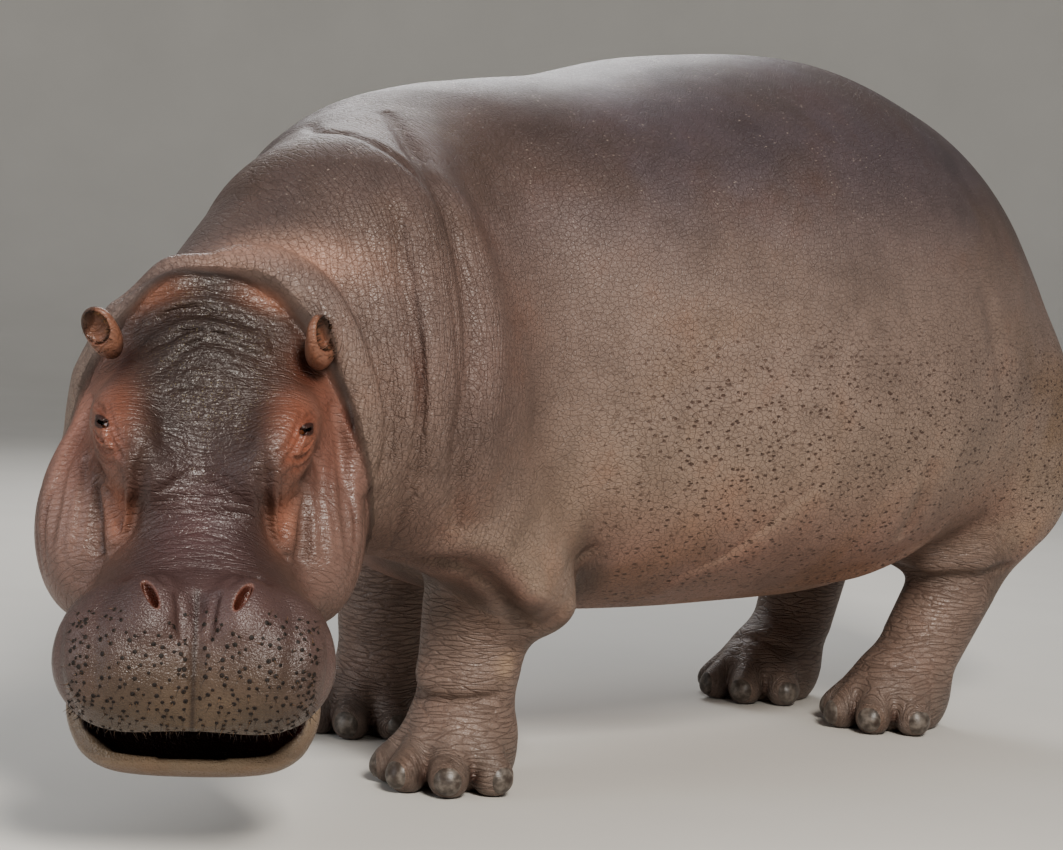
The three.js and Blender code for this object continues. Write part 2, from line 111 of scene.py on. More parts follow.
JAW = dict(
    y=[-0.622, -0.612, -0.570, -0.490, -0.390, -0.280, -0.160, -0.060],
    half_width=[0.07, 0.140, 0.192, 0.216, 0.209, 0.195, 0.175, 0.150],
    top=[-0.318, -0.304, -0.296, -0.286, -0.276, -0.268, -0.280, -0.300],
    bottom=[-0.340, -0.360, -0.388, -0.412, -0.424, -0.430, -0.430, -0.420],
    waist=[0.6, 0.6, 0.6, 0.6, 0.55, 0.5, 0.5, 0.5],
    power=[2.4, 2.5, 2.6, 2.6, 2.5, 2.4, 2.3, 2.3],
)
MOUTH = dict(  # the hollow inside the lower lip
    y=[-0.606, -0.596, -0.552, -0.480, -0.400, -0.330],
    half_width=[0.055, 0.127, 0.181, 0.205, 0.197, 0.155],
    top=[-0.262, -0.250, -0.236, -0.236, -0.240, -0.262],
    bottom=[-0.318, -0.332, -0.338, -0.334, -0.322, -0.300],
    power=[2.4, 2.5, 2.6, 2.6, 2.5, 2.4],
)

FEET = dict(
    fore_left=dict(at=(0.215, -0.690), side=1, heading=23),
    fore_right=dict(at=(-0.310, -0.450), side=-1, heading=8),
    hind_left=dict(at=(0.270, 0.640), side=1, heading=0, knee=(0.300, 0.870)),
    hind_right=dict(at=(-0.150, 0.680), side=-1, heading=0, knee=(-0.290, 0.830)),
)
TOE_ANGLES = (-66, -22, 22, 66)
TOE_REACH = 0.118  # from the middle of the foot to the middle of a toe's tip
TOE_RADIUS = 0.041
TOE_HEIGHT = 0.038  # of the middle of its tip
FOOT_STRETCH = (1, 1.06, 1)  # a foot is a little longer than it is wide
NAIL_REACH = 0.137  # from the middle of the foot to the middle of a nail

EYE_AT = (0.150, -0.160, 0.011)
EYE_RADIUS = 0.023
EYE_OUT = (0.81, 0.0, 0.58)  # the way that the eye looks, in the head's frame
LID_LINE = (0.40, 0.72, -0.56)  # from its corner near the nose to its back corner
LID_THICKNESS = 0.005
LID_OPEN = (0.0150, 0.0042)  # half the length and half the height of the opening

EARS = dict(
    left=dict(at=(0.186, 0.010, 0.068), turn=(-20, 22, 62)),
    right=dict(at=(-0.184, 0.010, 0.068), turn=(-20, -24, -10)),
)
EAR_RADII = (0.031, 0.017, 0.037)

NOSTRIL = dict(at=(0.073, -0.490, 0.020), radii=(0.0080, 0.027, 0.017), turn=(0, -18, -25))

# ---- curves and turns ---------------------------------------------------------------------------


def smooth_rows(knots, rows, count):
    """Rows of values run smoothly between their knots: cubic pieces whose slopes never overshoot."""
    knots, rows = np.asarray(knots, float), np.asarray(rows, float)
    steps = np.diff(knots)[:, None]
    rises = np.diff(rows, axis=0) / steps
    slopes = np.zeros_like(rows)
    slopes[0], slopes[-1] = rises[0], rises[-1]
    before, after = rises[:-1], rises[1:]
    weight_before, weight_after = 2 * steps[1:] + steps[:-1], steps[1:] + 2 * steps[:-1]
    with np.errstate(divide="ignore", invalid="ignore"):
        shared = (weight_before + weight_after) / (weight_before / before + weight_after / after)
    slopes[1:-1] = np.where(before * after > 0, np.nan_to_num(shared), 0)
    at = np.linspace(knots[0], knots[-1], count)
    i = np.clip(np.searchsorted(knots, at) - 1, 0, len(knots) - 2)
    u, h = ((at - knots[i]) / steps[i, 0])[:, None], steps[i]
    start, end = (1 + 2 * u) * (1 - u) ** 2 * rows[i], u * u * (3 - 2 * u) * rows[i + 1]
    leave, arrive = u * (1 - u) ** 2 * h * slopes[i], u * u * (u - 1) * h * slopes[i + 1]
    return start + leave + end + arrive


def smooth_path(points, pieces=4):
    """A curve that passes through its points, each span cut into equal pieces (Catmull and Rom)."""
    p = np.asarray(points, float)
    if len(p) < 3:
        return p
    ends = np.concatenate([[2 * p[0] - p[1]], p, [2 * p[-1] - p[-2]]])
    a, b, c, d = ends[:-3, None], ends[1:-2, None], ends[2:-1, None], ends[3:, None]
    t = (np.arange(pieces) / pieces)[None, :, None]
    bend = (c - a) * t + (2 * a - 5 * b + 4 * c - d) * t**2 + (3 * b - a - 3 * c + d) * t**3
    return np.concatenate([(b + bend / 2).reshape(-1, 3), p[-1:]])


def turn_of(degrees):
    """The matrix that turns a form about its own x, then y, then z."""
    a, b, c = np.radians(degrees)
    about_x = [[1, 0, 0], [0, np.cos(a), -np.sin(a)], [0, np.sin(a), np.cos(a)]]
    about_y = [[np.cos(b), 0, np.sin(b)], [0, 1, 0], [-np.sin(b), 0, np.cos(b)]]
    about_z = [[np.cos(c), -np.sin(c), 0], [np.sin(c), np.cos(c), 0], [0, 0, 1]]
    return np.array(about_z) @ np.array(about_y) @ np.array(about_x)


def unit(vectors):
    """Vectors scaled to length one."""
    v = np.asarray(vectors, float)
    return v / np.maximum(np.linalg.norm(v, axis=-1, keepdims=True), 1e-12)


def ease(value, low, high):
    """From 0 at low to 1 at high, smooth at both ends."""
    t = np.clip((value - low) / (high - low), 0, 1)
    return t * t * (3 - 2 * t)


# ---- clay ---------------------------------------------------------------------------------------


class Clay:
    """Blocks of points, each with its distance to the skin, negative inside.

    Forms are joined, carved and pressed in one after another. A form only touches the blocks that
    are near it, so a small one costs little.
    """

    def __init__(self, points):
        self.points = points.astype(np.float32)
        low, high = points.min(1), points.max(1)
        self.middles = (low + high) / 2
        self.radii = np.linalg.norm(high - low, axis=1) / 2
        self.depth = np.ones(points.shape[:2], np.float32)

    def near(self, place, centre, reach, twin=False):
        """The blocks within reach of a centre, and their points in its place. A twin is on both sides."""
        hit = np.zeros(len(self.radii), bool)
        for sign in (1, -1) if twin else (1,):
            middle = place.outside(np.array(centre) * [sign, 1, 1])
            hit |= lengths(self.middles - middle) < reach + self.radii
        blocks = np.flatnonzero(hit)
        local = place.inside(self.points[blocks])
        if twin:
            local[..., 0] = np.abs(local[..., 0])
        return blocks, local

    def melt(self, blocks, distance, k):
        """The smaller of two distances, rounded over k where they are close."""
        old = self.depth[blocks]
        overlap = np.maximum(k - np.abs(old - distance), 0) / k
        self.depth[blocks] = np.minimum(old, distance) - overlap * overlap * k / 4

    def carve(self, blocks, distance, k):
        """Take a form away, with its rim rounded over k."""
        self.depth[blocks] *= -1
        self.melt(blocks, distance, k)
        self.depth[blocks] *= -1

    def ball(self, place, centre, radii, k, turn=None, twin=False, carved=False):
        """An ellipsoid: with q and s the lengths of p/r and p/r^2, its distance is q (q - 1) / s."""
        r = np.array(radii, np.float32)
        blocks, p = self.near(place, centre, r.max() + k + 0.05, twin)
        p = p - np.array(centre, np.float32)
        if turn is not None:
            p = p @ turn_of(turn).astype(np.float32)
        q, s = lengths(p / r), lengths(p / r**2)
        (self.carve if carved else self.melt)(blocks, q * (q - 1) / np.maximum(s, 1e-6), k)

    def chain(self, place, points, radii, k):
        """Round cones from point to point: the distance to each line less a radius that runs along it."""
        points, radii = np.array(points, float), np.array(radii, float)
        centre = points.mean(0)
        reach = np.linalg.norm(points - centre, axis=1).max() + radii.max() + k + 0.05
        blocks, p = self.near(place, centre, reach)
        best = np.full(p.shape[:2], np.inf, np.float32)
        for a, b, start, end in zip(points[:-1], points[1:], radii[:-1], radii[1:]):
            away, along = distance_to_line(p, a, b)
            np.minimum(best, away - (start + (end - start) * along), out=best)
        self.melt(blocks, best.astype(np.float32), k)

    def loft(self, place, stations, k, reach, carved=False):
        """Superellipse sections square to y, with half width, top and bottom run through stations.

        With q the section's own measure, 1 on its edge, the distance is (q - 1) over its slope.
        """
        rows = np.array([stations[name] for name in ("y", "half_width", "top", "bottom")])
        rest = [stations.get(name, [value] * rows.shape[1]) for name, value in LOFT_DEFAULTS]
        rows = np.concatenate([rows, rest])
        knots = np.cumsum([0, *np.hypot(np.diff(rows[0]), np.diff(rows[1]))])
        table = smooth_rows(knots, rows.T, 800)
        middle = (0, rows[0].mean(), (rows[2].mean() + rows[3].mean()) / 2)
        blocks, p = self.near(place, middle, reach)

        def measure(x, y, z):
            at = np.clip(y, table[0, 0], table[-1, 0])
            columns = [np.interp(at, table[:, 0], table[:, j]).astype(np.float32) for j in range(1, 7)]
            width, top, bottom, waist, taper, power = columns
            widest = bottom + waist * (top - bottom)
            level = (z - widest) / np.where(z > widest, top - widest, widest - bottom)
            width = width * (1 - taper * np.clip(level, -1.2, 1.2))
            return (np.abs(x / width) ** power + np.abs(level) ** power) ** (1 / power)

        x, y, z = p[..., 0], p[..., 1], p[..., 2]
        q, step = measure(x, y, z), np.float32(0.004)
        across = np.hypot(measure(x + step, y, z) - q, measure(x, y, z + step) - q) / step
        slope = np.abs(measure(x, y + step, z) - q) / step / np.maximum(across, 1e-3)
        distance = (q - 1) / (np.maximum(across, 0.5) * np.hypot(1, np.minimum(slope, STEEPEST)))
        over = np.maximum(table[0, 0] - y, y - table[-1, 0])
        distance = np.where(over > 0, np.hypot(np.maximum(distance, 0), over), distance)
        (self.carve if carved else self.melt)(blocks, np.clip(distance, -0.25, 0.6).astype(np.float32), k)

    def press(self, path, depth, width, sharp, fade):
        """Press a fold along a world path, or raise one where depth is negative.

        The skin moves by depth times exp(-(d / width) ^ sharp), with d the distance to the path,
        and the fold dies away over the share fade of its length at each end.
        """
        centre = path.mean(0)
        reach = np.linalg.norm(path - centre, axis=1).max() + 3 * width
        blocks = np.flatnonzero(lengths(self.middles - centre) < reach + self.radii)
        best = np.full((len(blocks), self.points.shape[1]), np.inf, np.float32)
        place = np.zeros_like(best)
        spans = len(path) - 1
        for i, (a, b) in enumerate(zip(path[:-1], path[1:])):
            span_reach = np.linalg.norm(b - a) / 2 + 3 * width
            off = lengths(self.middles[blocks] - (a + b) / 2)
            close = np.flatnonzero(off < span_reach + self.radii[blocks])
            away, along = distance_to_line(self.points[blocks[close]], a, b)
            nearer = away < best[close]
            place[close] = np.where(nearer, (i + along) / spans, place[close])
            best[close] = np.minimum(best[close], away)
        ends = np.minimum(np.minimum(place, 1 - place) / max(fade, 1e-6), 1)
        self.depth[blocks] += np.float32(depth) * np.exp(-((best / width) ** sharp)) * ends**0.7


LOFT_DEFAULTS = (("waist", 0.47), ("taper", 0.0), ("power", 2.25))
STEEPEST = 1.2  # the slope past which a loft's end counts as blunt


def distance_to_line(p, a, b):
    """From points to the line between a and b, and how far along it, 0 to 1."""
    a, ab = a.astype(np.float32), (b - a).astype(np.float32)
    pa = p - a
    along = np.clip(pa @ (ab / max(float(ab @ ab), 1e-12)), 0, 1)
    return lengths(pa - along[..., None] * ab), along


def lengths(vectors):
    """The lengths of an array of vectors."""
    return np.sqrt(np.einsum("...i,...i->...", vectors, vectors))


def slope_of(form, points, step):
    """The field and its slope at blocks of points, from small steps along x, y and z."""
    shifts = np.concatenate([[[0, 0, 0]], np.eye(3) * step]).astype(np.float32)
    blocks, count = points.shape[:2]
    clay = Clay((points[:, None] + shifts[None, :, None]).reshape(blocks, 4 * count, 3))
    form(clay)
    value = clay.depth.reshape(blocks, 4, count)
    return value[:, 0], np.moveaxis(value[:, 1:] - value[:, :1], 1, -1) / step


LEAST_SLOPE = 0.2  # the squared slope below which a step is held back


def settle(form, points, rounds=2, step=0.002, most=0.02):
    """Move blocks of points onto the form's skin: back along the slope by the field over its length."""
    for _ in range(rounds):
        value, slope = slope_of(form, points, step)
        square = np.maximum((slope**2).sum(-1), LEAST_SLOPE)
        points = points - (np.clip(value / square, -most, most))[..., None] * slope
    return points


# ---- the masses of flesh ------------------------------------------------------------------------


def foot_place(foot):
    return Place((*foot["at"], 0), foot["heading"])


def toe_way(angle):
    """The way that a toe points, in its foot's frame."""
    return np.array([np.sin(np.radians(angle)), -np.cos(np.radians(angle)), 0])


def sculpt_foot(clay, foot):
    """A broad pad and instep, with four blunt toes spread round their front."""
    place = foot_place(foot)
    clay.ball(place, (0, 0.025, 0.050), (0.108, 0.122, 0.085), 0.05)  # pad
    clay.ball(place, (0, 0.030, 0.105), (0.100, 0.105, 0.080), 0.05)  # instep
    for angle in TOE_ANGLES:
        way = toe_way(angle) * FOOT_STRETCH
        root, knuckle = way * 0.030 + [0, 0, 0.110], way * 0.070 + [0, 0, 0.082]
        tip = way * TOE_REACH + [0, 0, TOE_HEIGHT]
        clay.chain(place, [root, knuckle, tip], [0.050, 0.044, TOE_RADIUS], 0.018)


def sculpt_fore_leg(clay, foot):
    (x, y), side = foot["at"], foot["side"]
    points = [
        (x + 0.060 * side, y + 0.120, 0.82),
        (x + 0.030 * side, y + 0.070, 0.55),
        (x + 0.010 * side, y + 0.035, 0.36),
        (x + 0.004 * side, y + 0.030, 0.24),
        (x, y + 0.022, 0.14),
    ]
    clay.chain(BODY, points, [0.20, 0.140, 0.106, 0.102, 0.092], 0.06)
    sculpt_foot(clay, foot)


def sculpt_hind_leg(clay, foot):
    (x, y), side, (knee_x, knee_y) = foot["at"], foot["side"], foot["knee"]
    points = [
        (knee_x, knee_y, 0.76),
        (knee_x, knee_y + 0.055, 0.50),
        (x + 0.012 * side, (y + 0.19 + knee_y) / 2, 0.33),
        (x + 0.004 * side, y + 0.110, 0.19),
        (x, y + 0.070, 0.12),
    ]
    clay.ball(BODY, (knee_x * 0.92, knee_y - 0.05, 0.74), (0.20, 0.22, 0.28), 0.15)
    clay.ball(BODY, (knee_x + 0.035 * side, knee_y + 0.08, 0.57), (0.15, 0.16, 0.15), 0.12)
    clay.chain(BODY, points, [0.20, 0.124, 0.102, 0.096, 0.090], 0.09)
    hem = [  # the fold of skin that hangs over the knee
        (x - 0.07 * side, y + 0.10, 0.42),
        (x + 0.04 * side, y + 0.09, 0.405),
        (x + 0.10 * side, y + 0.15, 0.42),
        (x + 0.12 * side, y + 0.24, 0.455),
    ]
    clay.chain(BODY, hem, [0.045, 0.055, 0.055, 0.045], 0.07)
    sculpt_foot(clay, foot)


NAPE_TOP = (-0.05, 0.13, 0)  # where the two rolls of the neck meet


def sculpt_neck(clay):
    """Two thick cords of muscle carry the head, and rolls of skin lie round its back."""
    nape, throat = ((HEAD.outside(p) - SHIFT) for p in ((0, 0.02, -0.18), (0, 0, -0.30)))
    clay.chain(BODY, [(0, -0.72, 1.02), (0.187, -1.00, 0.975), nape], [0.33, 0.285, 0.215], 0.10)
    clay.chain(BODY, [(0.04, -0.70, 0.86), (0.24, -0.96, 0.79), throat], [0.36, 0.30, 0.225], 0.10)
    left = [(0.11, 0.14, -0.01), (0.20, 0.11, -0.06), (0.265, 0.05, -0.14), (0.285, 0.0, -0.26)]
    right = [(-0.13, 0.10, -0.05), (-0.175, 0.06, -0.15), (-0.19, 0.02, -0.28)]
    clay.chain(HEAD, [NAPE_TOP, *left], [0.06, 0.072, 0.078, 0.074, 0.06], 0.04)
    clay.chain(HEAD, [NAPE_TOP, *right], [0.06, 0.062, 0.06, 0.055], 0.045)


def sculpt_elbow(clay):
    """The flap of the upper arm hangs over the left fore leg and ends in a lump behind the elbow."""
    path = [(0.29, -0.90, 0.66), (0.335, -0.80, 0.555), (0.362, -0.69, 0.45), (0.366, -0.60, 0.378)]
    clay.chain(BODY, path, [0.150, 0.130, 0.090, 0.054], 0.12)


def sculpt_head(clay):
    clay.loft(HEAD, SKULL, 0.05, 0.62)
    clay.ball(HEAD, (0.190, -0.170, -0.270), (0.100, 0.170, 0.150), 0.05, twin=True)  # jowls
    clay.ball(HEAD, (0.124, -0.165, -0.016), (0.052, 0.100, 0.053), 0.09, (0, 0, -22), twin=True)  # brows
    clay.ball(HEAD, (0.123, -0.182, 0.016), (0.036, 0.062, 0.034), 0.025, (0, 0, -22), twin=True)
    clay.ball(HEAD, (0.115, -0.530, -0.108), (0.104, 0.110, 0.099), 0.05, twin=True)  # muzzle lobes
    clay.ball(HEAD, (0.072, -0.495, -0.012), (0.044, 0.060, 0.034), 0.03, twin=True)  # nostril mounds


def sculpt_mouth(clay):
    clay.loft(HEAD, JAW, 0.015, 0.45)
    clay.loft(HEAD, MOUTH, 0.010, 0.32, carved=True)


def sculpt_eyes(clay):
    """A lid is a thin shell over the eyeball, with a narrow opening along its line."""
    shell = EYE_RADIUS + LID_THICKNESS
    clay.ball(HEAD, EYE_AT, (shell, shell, shell), 0.016, twin=True)
    opening = np.array(EYE_AT) + np.array(EYE_OUT) * (EYE_RADIUS + 0.002)
    length, height = LID_OPEN
    turn = turn_between(LID_LINE, EYE_OUT)
    clay.ball(HEAD, opening, (length, height, 0.016), 0.0025, turn, twin=True, carved=True)


def sculpt_ears(clay):
    for ear in EARS.values():
        clay.ball(HEAD, ear["at"], EAR_RADII, 0.02, ear["turn"])
        root = np.array(ear["at"]) + turn_of(ear["turn"]) @ (0.004, 0.004, -0.034)
        clay.ball(HEAD, root, (0.024, 0.022, 0.030), 0.025, ear["turn"])
        cup = np.array(ear["at"]) + turn_of(ear["turn"]) @ (0, -0.016, 0.006)
        clay.ball(HEAD, cup, (0.025, 0.017, 0.031), 0.004, ear["turn"], carved=True)


def sculpt_tail(clay):
    clay.chain(BODY, TAIL, [0.055, 0.042, 0.030, 0.016], 0.05)


def masses(clay):
    """The whole animal without its folds, cut flat at the floor."""
    clay.loft(BODY, TRUNK, 0.001, 1.35)
    sculpt_neck(clay)
    for name, foot in FEET.items():
        (sculpt_fore_leg if name.startswith("fore") else sculpt_hind_leg)(clay, foot)
    sculpt_elbow(clay)
    sculpt_tail(clay)
    sculpt_head(clay)
    sculpt_mouth(clay)
    sculpt_eyes(clay)
    sculpt_ears(clay)
    clay.ball(HEAD, NOSTRIL["at"], NOSTRIL["radii"], 0.006, NOSTRIL["turn"], twin=True, carved=True)
    clay.carve(np.arange(len(clay.depth)), clay.points[..., 2], 0.006)


def turn_between(along, out):
    """The turns about x, y and z that carry x to along and z to out."""
    x = unit(along)
    z = unit(np.array(out) - x * (np.array(out) @ x))
    m = np.column_stack([x, np.cross(z, x), z])
    about_y = -np.arcsin(m[2, 0])
    return np.degrees([np.arctan2(m[2, 1], m[2, 2]), about_y, np.arctan2(m[1, 0], m[0, 0])])


TAIL = [(0, 1.100, 1.010), (0, 1.178, 0.900), (0, 1.196, 0.780), (0.008, 1.190, 0.660)]

# ---- folds --------------------------------------------------------------------------------------

FOLDS = []
ROLL_SHARP, ROLL_FADE = 2, 0.3


def fold(place, depth, width, path, sharp=1.5, fade=0.2, roll=None, twin=False):
    """Note a fold: a rough path in its place's frame, which is later settled onto the masses.

    A negative depth raises a ridge. A twin is on both sides of the head. A roll is a raised band
    beside the fold: its own depth and width, and the way from the fold to it.
    """
    FOLDS.append((place, depth, width, np.array(path), sharp, fade, roll, twin))


# the brow and the nape
fold(HEAD, 0.013, 0.006, [(-0.084, -0.057, 0.029), (-0.05, -0.026, 0.044), (-0.009, 0.002, 0.052),
     (0.033, -0.001, 0.054), (0.076, -0.013, 0.041), (0.106, -0.013, 0.026)],
     sharp=1.2, roll=(-0.010, 0.014, (0, 0.016, 0)))
fold(HEAD, 0.010, 0.006, [(-0.113, -0.002, 0.019), (-0.078, 0.004, 0.039), (-0.037, 0.022, 0.057),
     (0.012, 0.019, 0.059), (0.062, 0.009, 0.049), (0.098, 0.016, 0.036)],
     roll=(-0.007, 0.012, (0, 0.014, 0)))
fold(HEAD, 0.009, 0.006, [(-0.108, 0.04, 0.025), (-0.067, 0.061, 0.048), (-0.011, 0.065, 0.057),
     (0.047, 0.054, 0.054), (0.082, 0.035, 0.044)], roll=(-0.006, 0.012, (0, 0.014, 0)))
fold(HEAD, 0.008, 0.008, [(-0.15, 0.03, 0.03), (-0.117, 0.081, 0.03), (-0.069, 0.096, 0.061),
     (-0.02, 0.112, 0.068), (0.03, 0.109, 0.064), (0.08, 0.088, 0.058), (0.133, 0.055, 0.034)])
fold(HEAD, 0.027, 0.010, [(-0.165, 0.09, -0.02), (-0.143, 0.142, 0.001), (-0.093, 0.150, 0.049),
     (-0.029, 0.158, 0.063), (0.023, 0.157, 0.059), (0.072, 0.133, 0.060), (0.116, 0.095, 0.055),
     (0.165, 0.045, 0.04), (0.208, -0.002, -0.029), (0.24, -0.039, -0.075), (0.261, -0.073, -0.131),
     (0.284, -0.10, -0.183)], sharp=1.2, fade=0.30, roll=(-0.012, 0.030, (0.02, 0.040, 0)))
fold(HEAD, 0.034, 0.012, [(0.021, 0.229, 0.034), (0.082, 0.228, 0.056), (0.143, 0.21, 0.065),
     (0.202, 0.17, 0.057), (0.247, 0.113, 0.029), (0.288, 0.045, -0.024), (0.318, -0.023, -0.089),
     (0.319, -0.07, -0.15), (0.302, -0.099, -0.192)],
     sharp=1.1, roll=(-0.022, 0.040, (-0.020, -0.045, 0.0)))

# the face: the inner edge of each brow, and the straps and pockets of the cheek
fold(HEAD, 0.004, 0.016, [(0.085, -0.095, 0.026), (0.068, -0.153, 0.027), (0.074, -0.212, 0.025)],
     twin=True)
fold(HEAD, 0.018, 0.010, [(0.205, -0.03, -0.06), (0.232, -0.08, -0.11), (0.238, -0.14, -0.14),
     (0.245, -0.21, -0.155), (0.25, -0.27, -0.20)], twin=True, roll=(-0.010, 0.026, (0.03, 0.02, -0.02)))
fold(HEAD, 0.013, 0.008, [(0.186, -0.155, -0.015), (0.200, -0.140, -0.10), (0.200, -0.19, -0.125),
     (0.205, -0.25, -0.145), (0.215, -0.30, -0.17)], twin=True)
fold(HEAD, 0.028, 0.010, [(0.150, -0.20, -0.04), (0.166, -0.195, -0.10), (0.172, -0.235, -0.128),
     (0.172, -0.285, -0.150), (0.160, -0.305, -0.158)],
     twin=True, sharp=1.2, roll=(-0.014, 0.015, (-0.028, 0, 0.01)))
fold(HEAD, 0.026, 0.008, [(0.106, -0.212, 0.024), (0.100, -0.25, 0.003), (0.101, -0.262, -0.05),
     (0.118, -0.294, -0.098), (0.152, -0.315, -0.14)],
     twin=True, sharp=1.2, roll=(-0.010, 0.010, (0.018, 0, 0)))
fold(HEAD, 0.008, 0.006, [(0.114, -0.245, 0.0), (0.124, -0.257, -0.07), (0.143, -0.287, -0.118)], twin=True)

# round the eyes: under the brow, over the upper lid, round the bag below, and the tear line
fold(HEAD, 0.008, 0.005, [(0.111, -0.222, 0.030), (0.136, -0.200, 0.033), (0.152, -0.168, 0.040),
     (0.162, -0.120, 0.030)], twin=True, fade=0.3)
fold(HEAD, 0.010, 0.005, [(0.120, -0.232, 0.020), (0.138, -0.208, 0.026), (0.154, -0.183, 0.031),
     (0.163, -0.155, 0.036), (0.177, -0.122, 0.016), (0.186, -0.105, 0.0)],
     twin=True, roll=(-0.004, 0.006, (0.005, -0.007, -0.006)))
fold(HEAD, 0.010, 0.005, [(0.124, -0.220, 0.022), (0.141, -0.213, 0.019), (0.156, -0.207, 0.007),
     (0.173, -0.190, 0.0), (0.187, -0.163, -0.006)], twin=True, roll=(-0.005, 0.008, (0.0, 0.012, 0.008)))
fold(HEAD, 0.006, 0.004, [(0.150, -0.196, 0.022), (0.165, -0.187, 0.014), (0.180, -0.162, 0.006)],
     twin=True)
fold(HEAD, 0.006, 0.005, [(0.140, -0.225, 0.010), (0.168, -0.212, -0.014), (0.194, -0.150, -0.045)],
     twin=True)

# the muzzle: a hood over each nostril, the groove under the nose, and the sides of the lobes
fold(HEAD, 0.009, 0.007, [(0.046, -0.470, 0.013), (0.066, -0.443, 0.008), (0.096, -0.413, -0.033),
     (0.118, -0.445, -0.017)], twin=True)
fold(HEAD, 0.026, 0.006, [(0, -0.463, -0.008), (0.003, -0.527, -0.012), (0.003, -0.589, -0.032),
     (0.003, -0.648, -0.095), (0, -0.65, -0.15)], sharp=1.1, fade=0.1)
fold(HEAD, 0.011, 0.007, [(0.031, -0.475, 0.008), (0.026, -0.511, -0.001), (0.018, -0.560, -0.012)],
     twin=True)
fold(HEAD, 0.008, 0.014, [(0.147, -0.465, -0.02), (0.157, -0.530, -0.015), (0.155, -0.585, -0.024),
     (0.150, -0.630, -0.07)], twin=True)
fold(HEAD, 0.008, 0.016, [(0.213, -0.50, -0.06), (0.213, -0.555, -0.07), (0.196, -0.61, -0.11),
     (0.18, -0.635, -0.15)], twin=True)

# the neck and the shoulder
fold(BODY, 0.036, 0.011, [(0.125, -0.861, 1.313), (0.341, -0.963, 1.211), (0.416, -0.972, 1.130),
     (0.467, -0.973, 1.028), (0.504, -0.979, 0.925), (0.527, -0.991, 0.819), (0.529, -1.002, 0.730),
     (0.496, -0.978, 0.637), (0.42, -0.92, 0.555)],
     sharp=1.1, fade=0.12, roll=(-0.014, 0.040, (0.01, 0.06, 0)))
fold(BODY, -0.016, 0.045, [(0.30, -1.01, 1.20), (0.42, -1.03, 1.08), (0.48, -1.05, 0.92),
     (0.50, -1.06, 0.80), (0.47, -1.04, 0.66)], sharp=2, fade=0.3)
fold(BODY, 0.015, 0.011, [(0.40, -1.06, 1.11), (0.455, -1.10, 1.025), (0.49, -1.095, 0.92),
     (0.508, -1.082, 0.79), (0.494, -1.074, 0.692), (0.44, -1.054, 0.598), (0.34, -1.00, 0.515)])
fold(BODY, 0.009, 0.008, [(0.44, -1.19, 0.95), (0.475, -1.175, 0.88), (0.48, -1.15, 0.80),
     (0.475, -1.135, 0.73), (0.45, -1.12, 0.655)])
fold(BODY, 0.012, 0.010, [(0.02, -0.95, 1.26), (0.135, -1.03, 1.25), (0.235, -1.03, 1.245),
     (0.32, -1.02, 1.215), (0.41, -1.0, 1.145)])

# limbs and flank
fold(BODY, 0.008, 0.014, [(0.415, -0.545, 0.37), (0.415, -0.53, 0.42), (0.42, -0.50, 0.48)])
fold(BODY, 0.040, 0.013, [(0.29, -0.95, 0.50), (0.39, -0.885, 0.483), (0.41, -0.80, 0.428),
     (0.39, -0.715, 0.369), (0.365, -0.65, 0.330)],
     sharp=1.2, fade=0.2, roll=(-0.016, 0.034, (0.02, 0.02, 0.05)))
fold(BODY, 0.026, 0.009, [(0.13, -0.74, 0.190), (0.17, -0.785, 0.183), (0.23, -0.79, 0.178),
     (0.30, -0.74, 0.178), (0.325, -0.66, 0.190)], sharp=1.2, roll=(-0.012, 0.026, (0, 0, 0.034)))
fold(BODY, 0.005, 0.012, [(0.23, -0.30, 0.375), (0.304, -0.271, 0.411), (0.379, -0.234, 0.443),
     (0.437, -0.178, 0.478), (0.499, -0.13, 0.53), (0.553, -0.073, 0.588), (0.585, 0.013, 0.64)],
     fade=0.5, roll=(-0.007, 0.05, (0, 0.04, -0.03)))
fold(BODY, 0.013, 0.018, [(0.60, 0.30, 0.66), (0.56, 0.33, 0.56), (0.49, 0.36, 0.46)])
fold(BODY, -0.014, 0.024, [(0.33, 0.12, 0.33), (0.38, 0.362, 0.375), (0.42, 0.50, 0.42),
     (0.47, 0.56, 0.506)], sharp=2, fade=0.35)
fold(BODY, 0.030, 0.012, [(0.20, 0.70, 0.36), (0.31, 0.70, 0.345), (0.385, 0.78, 0.36),
     (0.41, 0.88, 0.395)], sharp=1.2)
fold(BODY, 0.020, 0.012, [(-0.20, 0.72, 0.36), (-0.11, 0.72, 0.345), (-0.05, 0.80, 0.36)], sharp=1.2)
fold(BODY, 0.018, 0.009, [(0.20, 0.60, 0.125), (0.27, 0.60, 0.125), (0.345, 0.66, 0.115),
     (0.365, 0.75, 0.12)], sharp=1.2)
fold(BODY, 0.018, 0.009, [(-0.22, 0.65, 0.125), (-0.15, 0.64, 0.125), (-0.065, 0.69, 0.115),
     (-0.05, 0.77, 0.12)], sharp=1.2)
fold(BODY, 0.009, 0.03, [(0.61, 0.45, 1.05), (0.60, 0.53, 0.87), (0.57, 0.61, 0.70)], sharp=2)


def family(place, first, last, count, depth, width, seed, shake=0.004):
    """Small folds spread between a first and a last path, each shaken a little."""
    rng = np.random.default_rng(seed)
    first, last = np.array(first), np.array(last)
    for share in np.linspace(0, 1, count):
        path = first + (last - first) * share + rng.normal(0, shake, first.shape)
        fold(place, depth * rng.uniform(0.6, 1.4), width, path, fade=0.35)


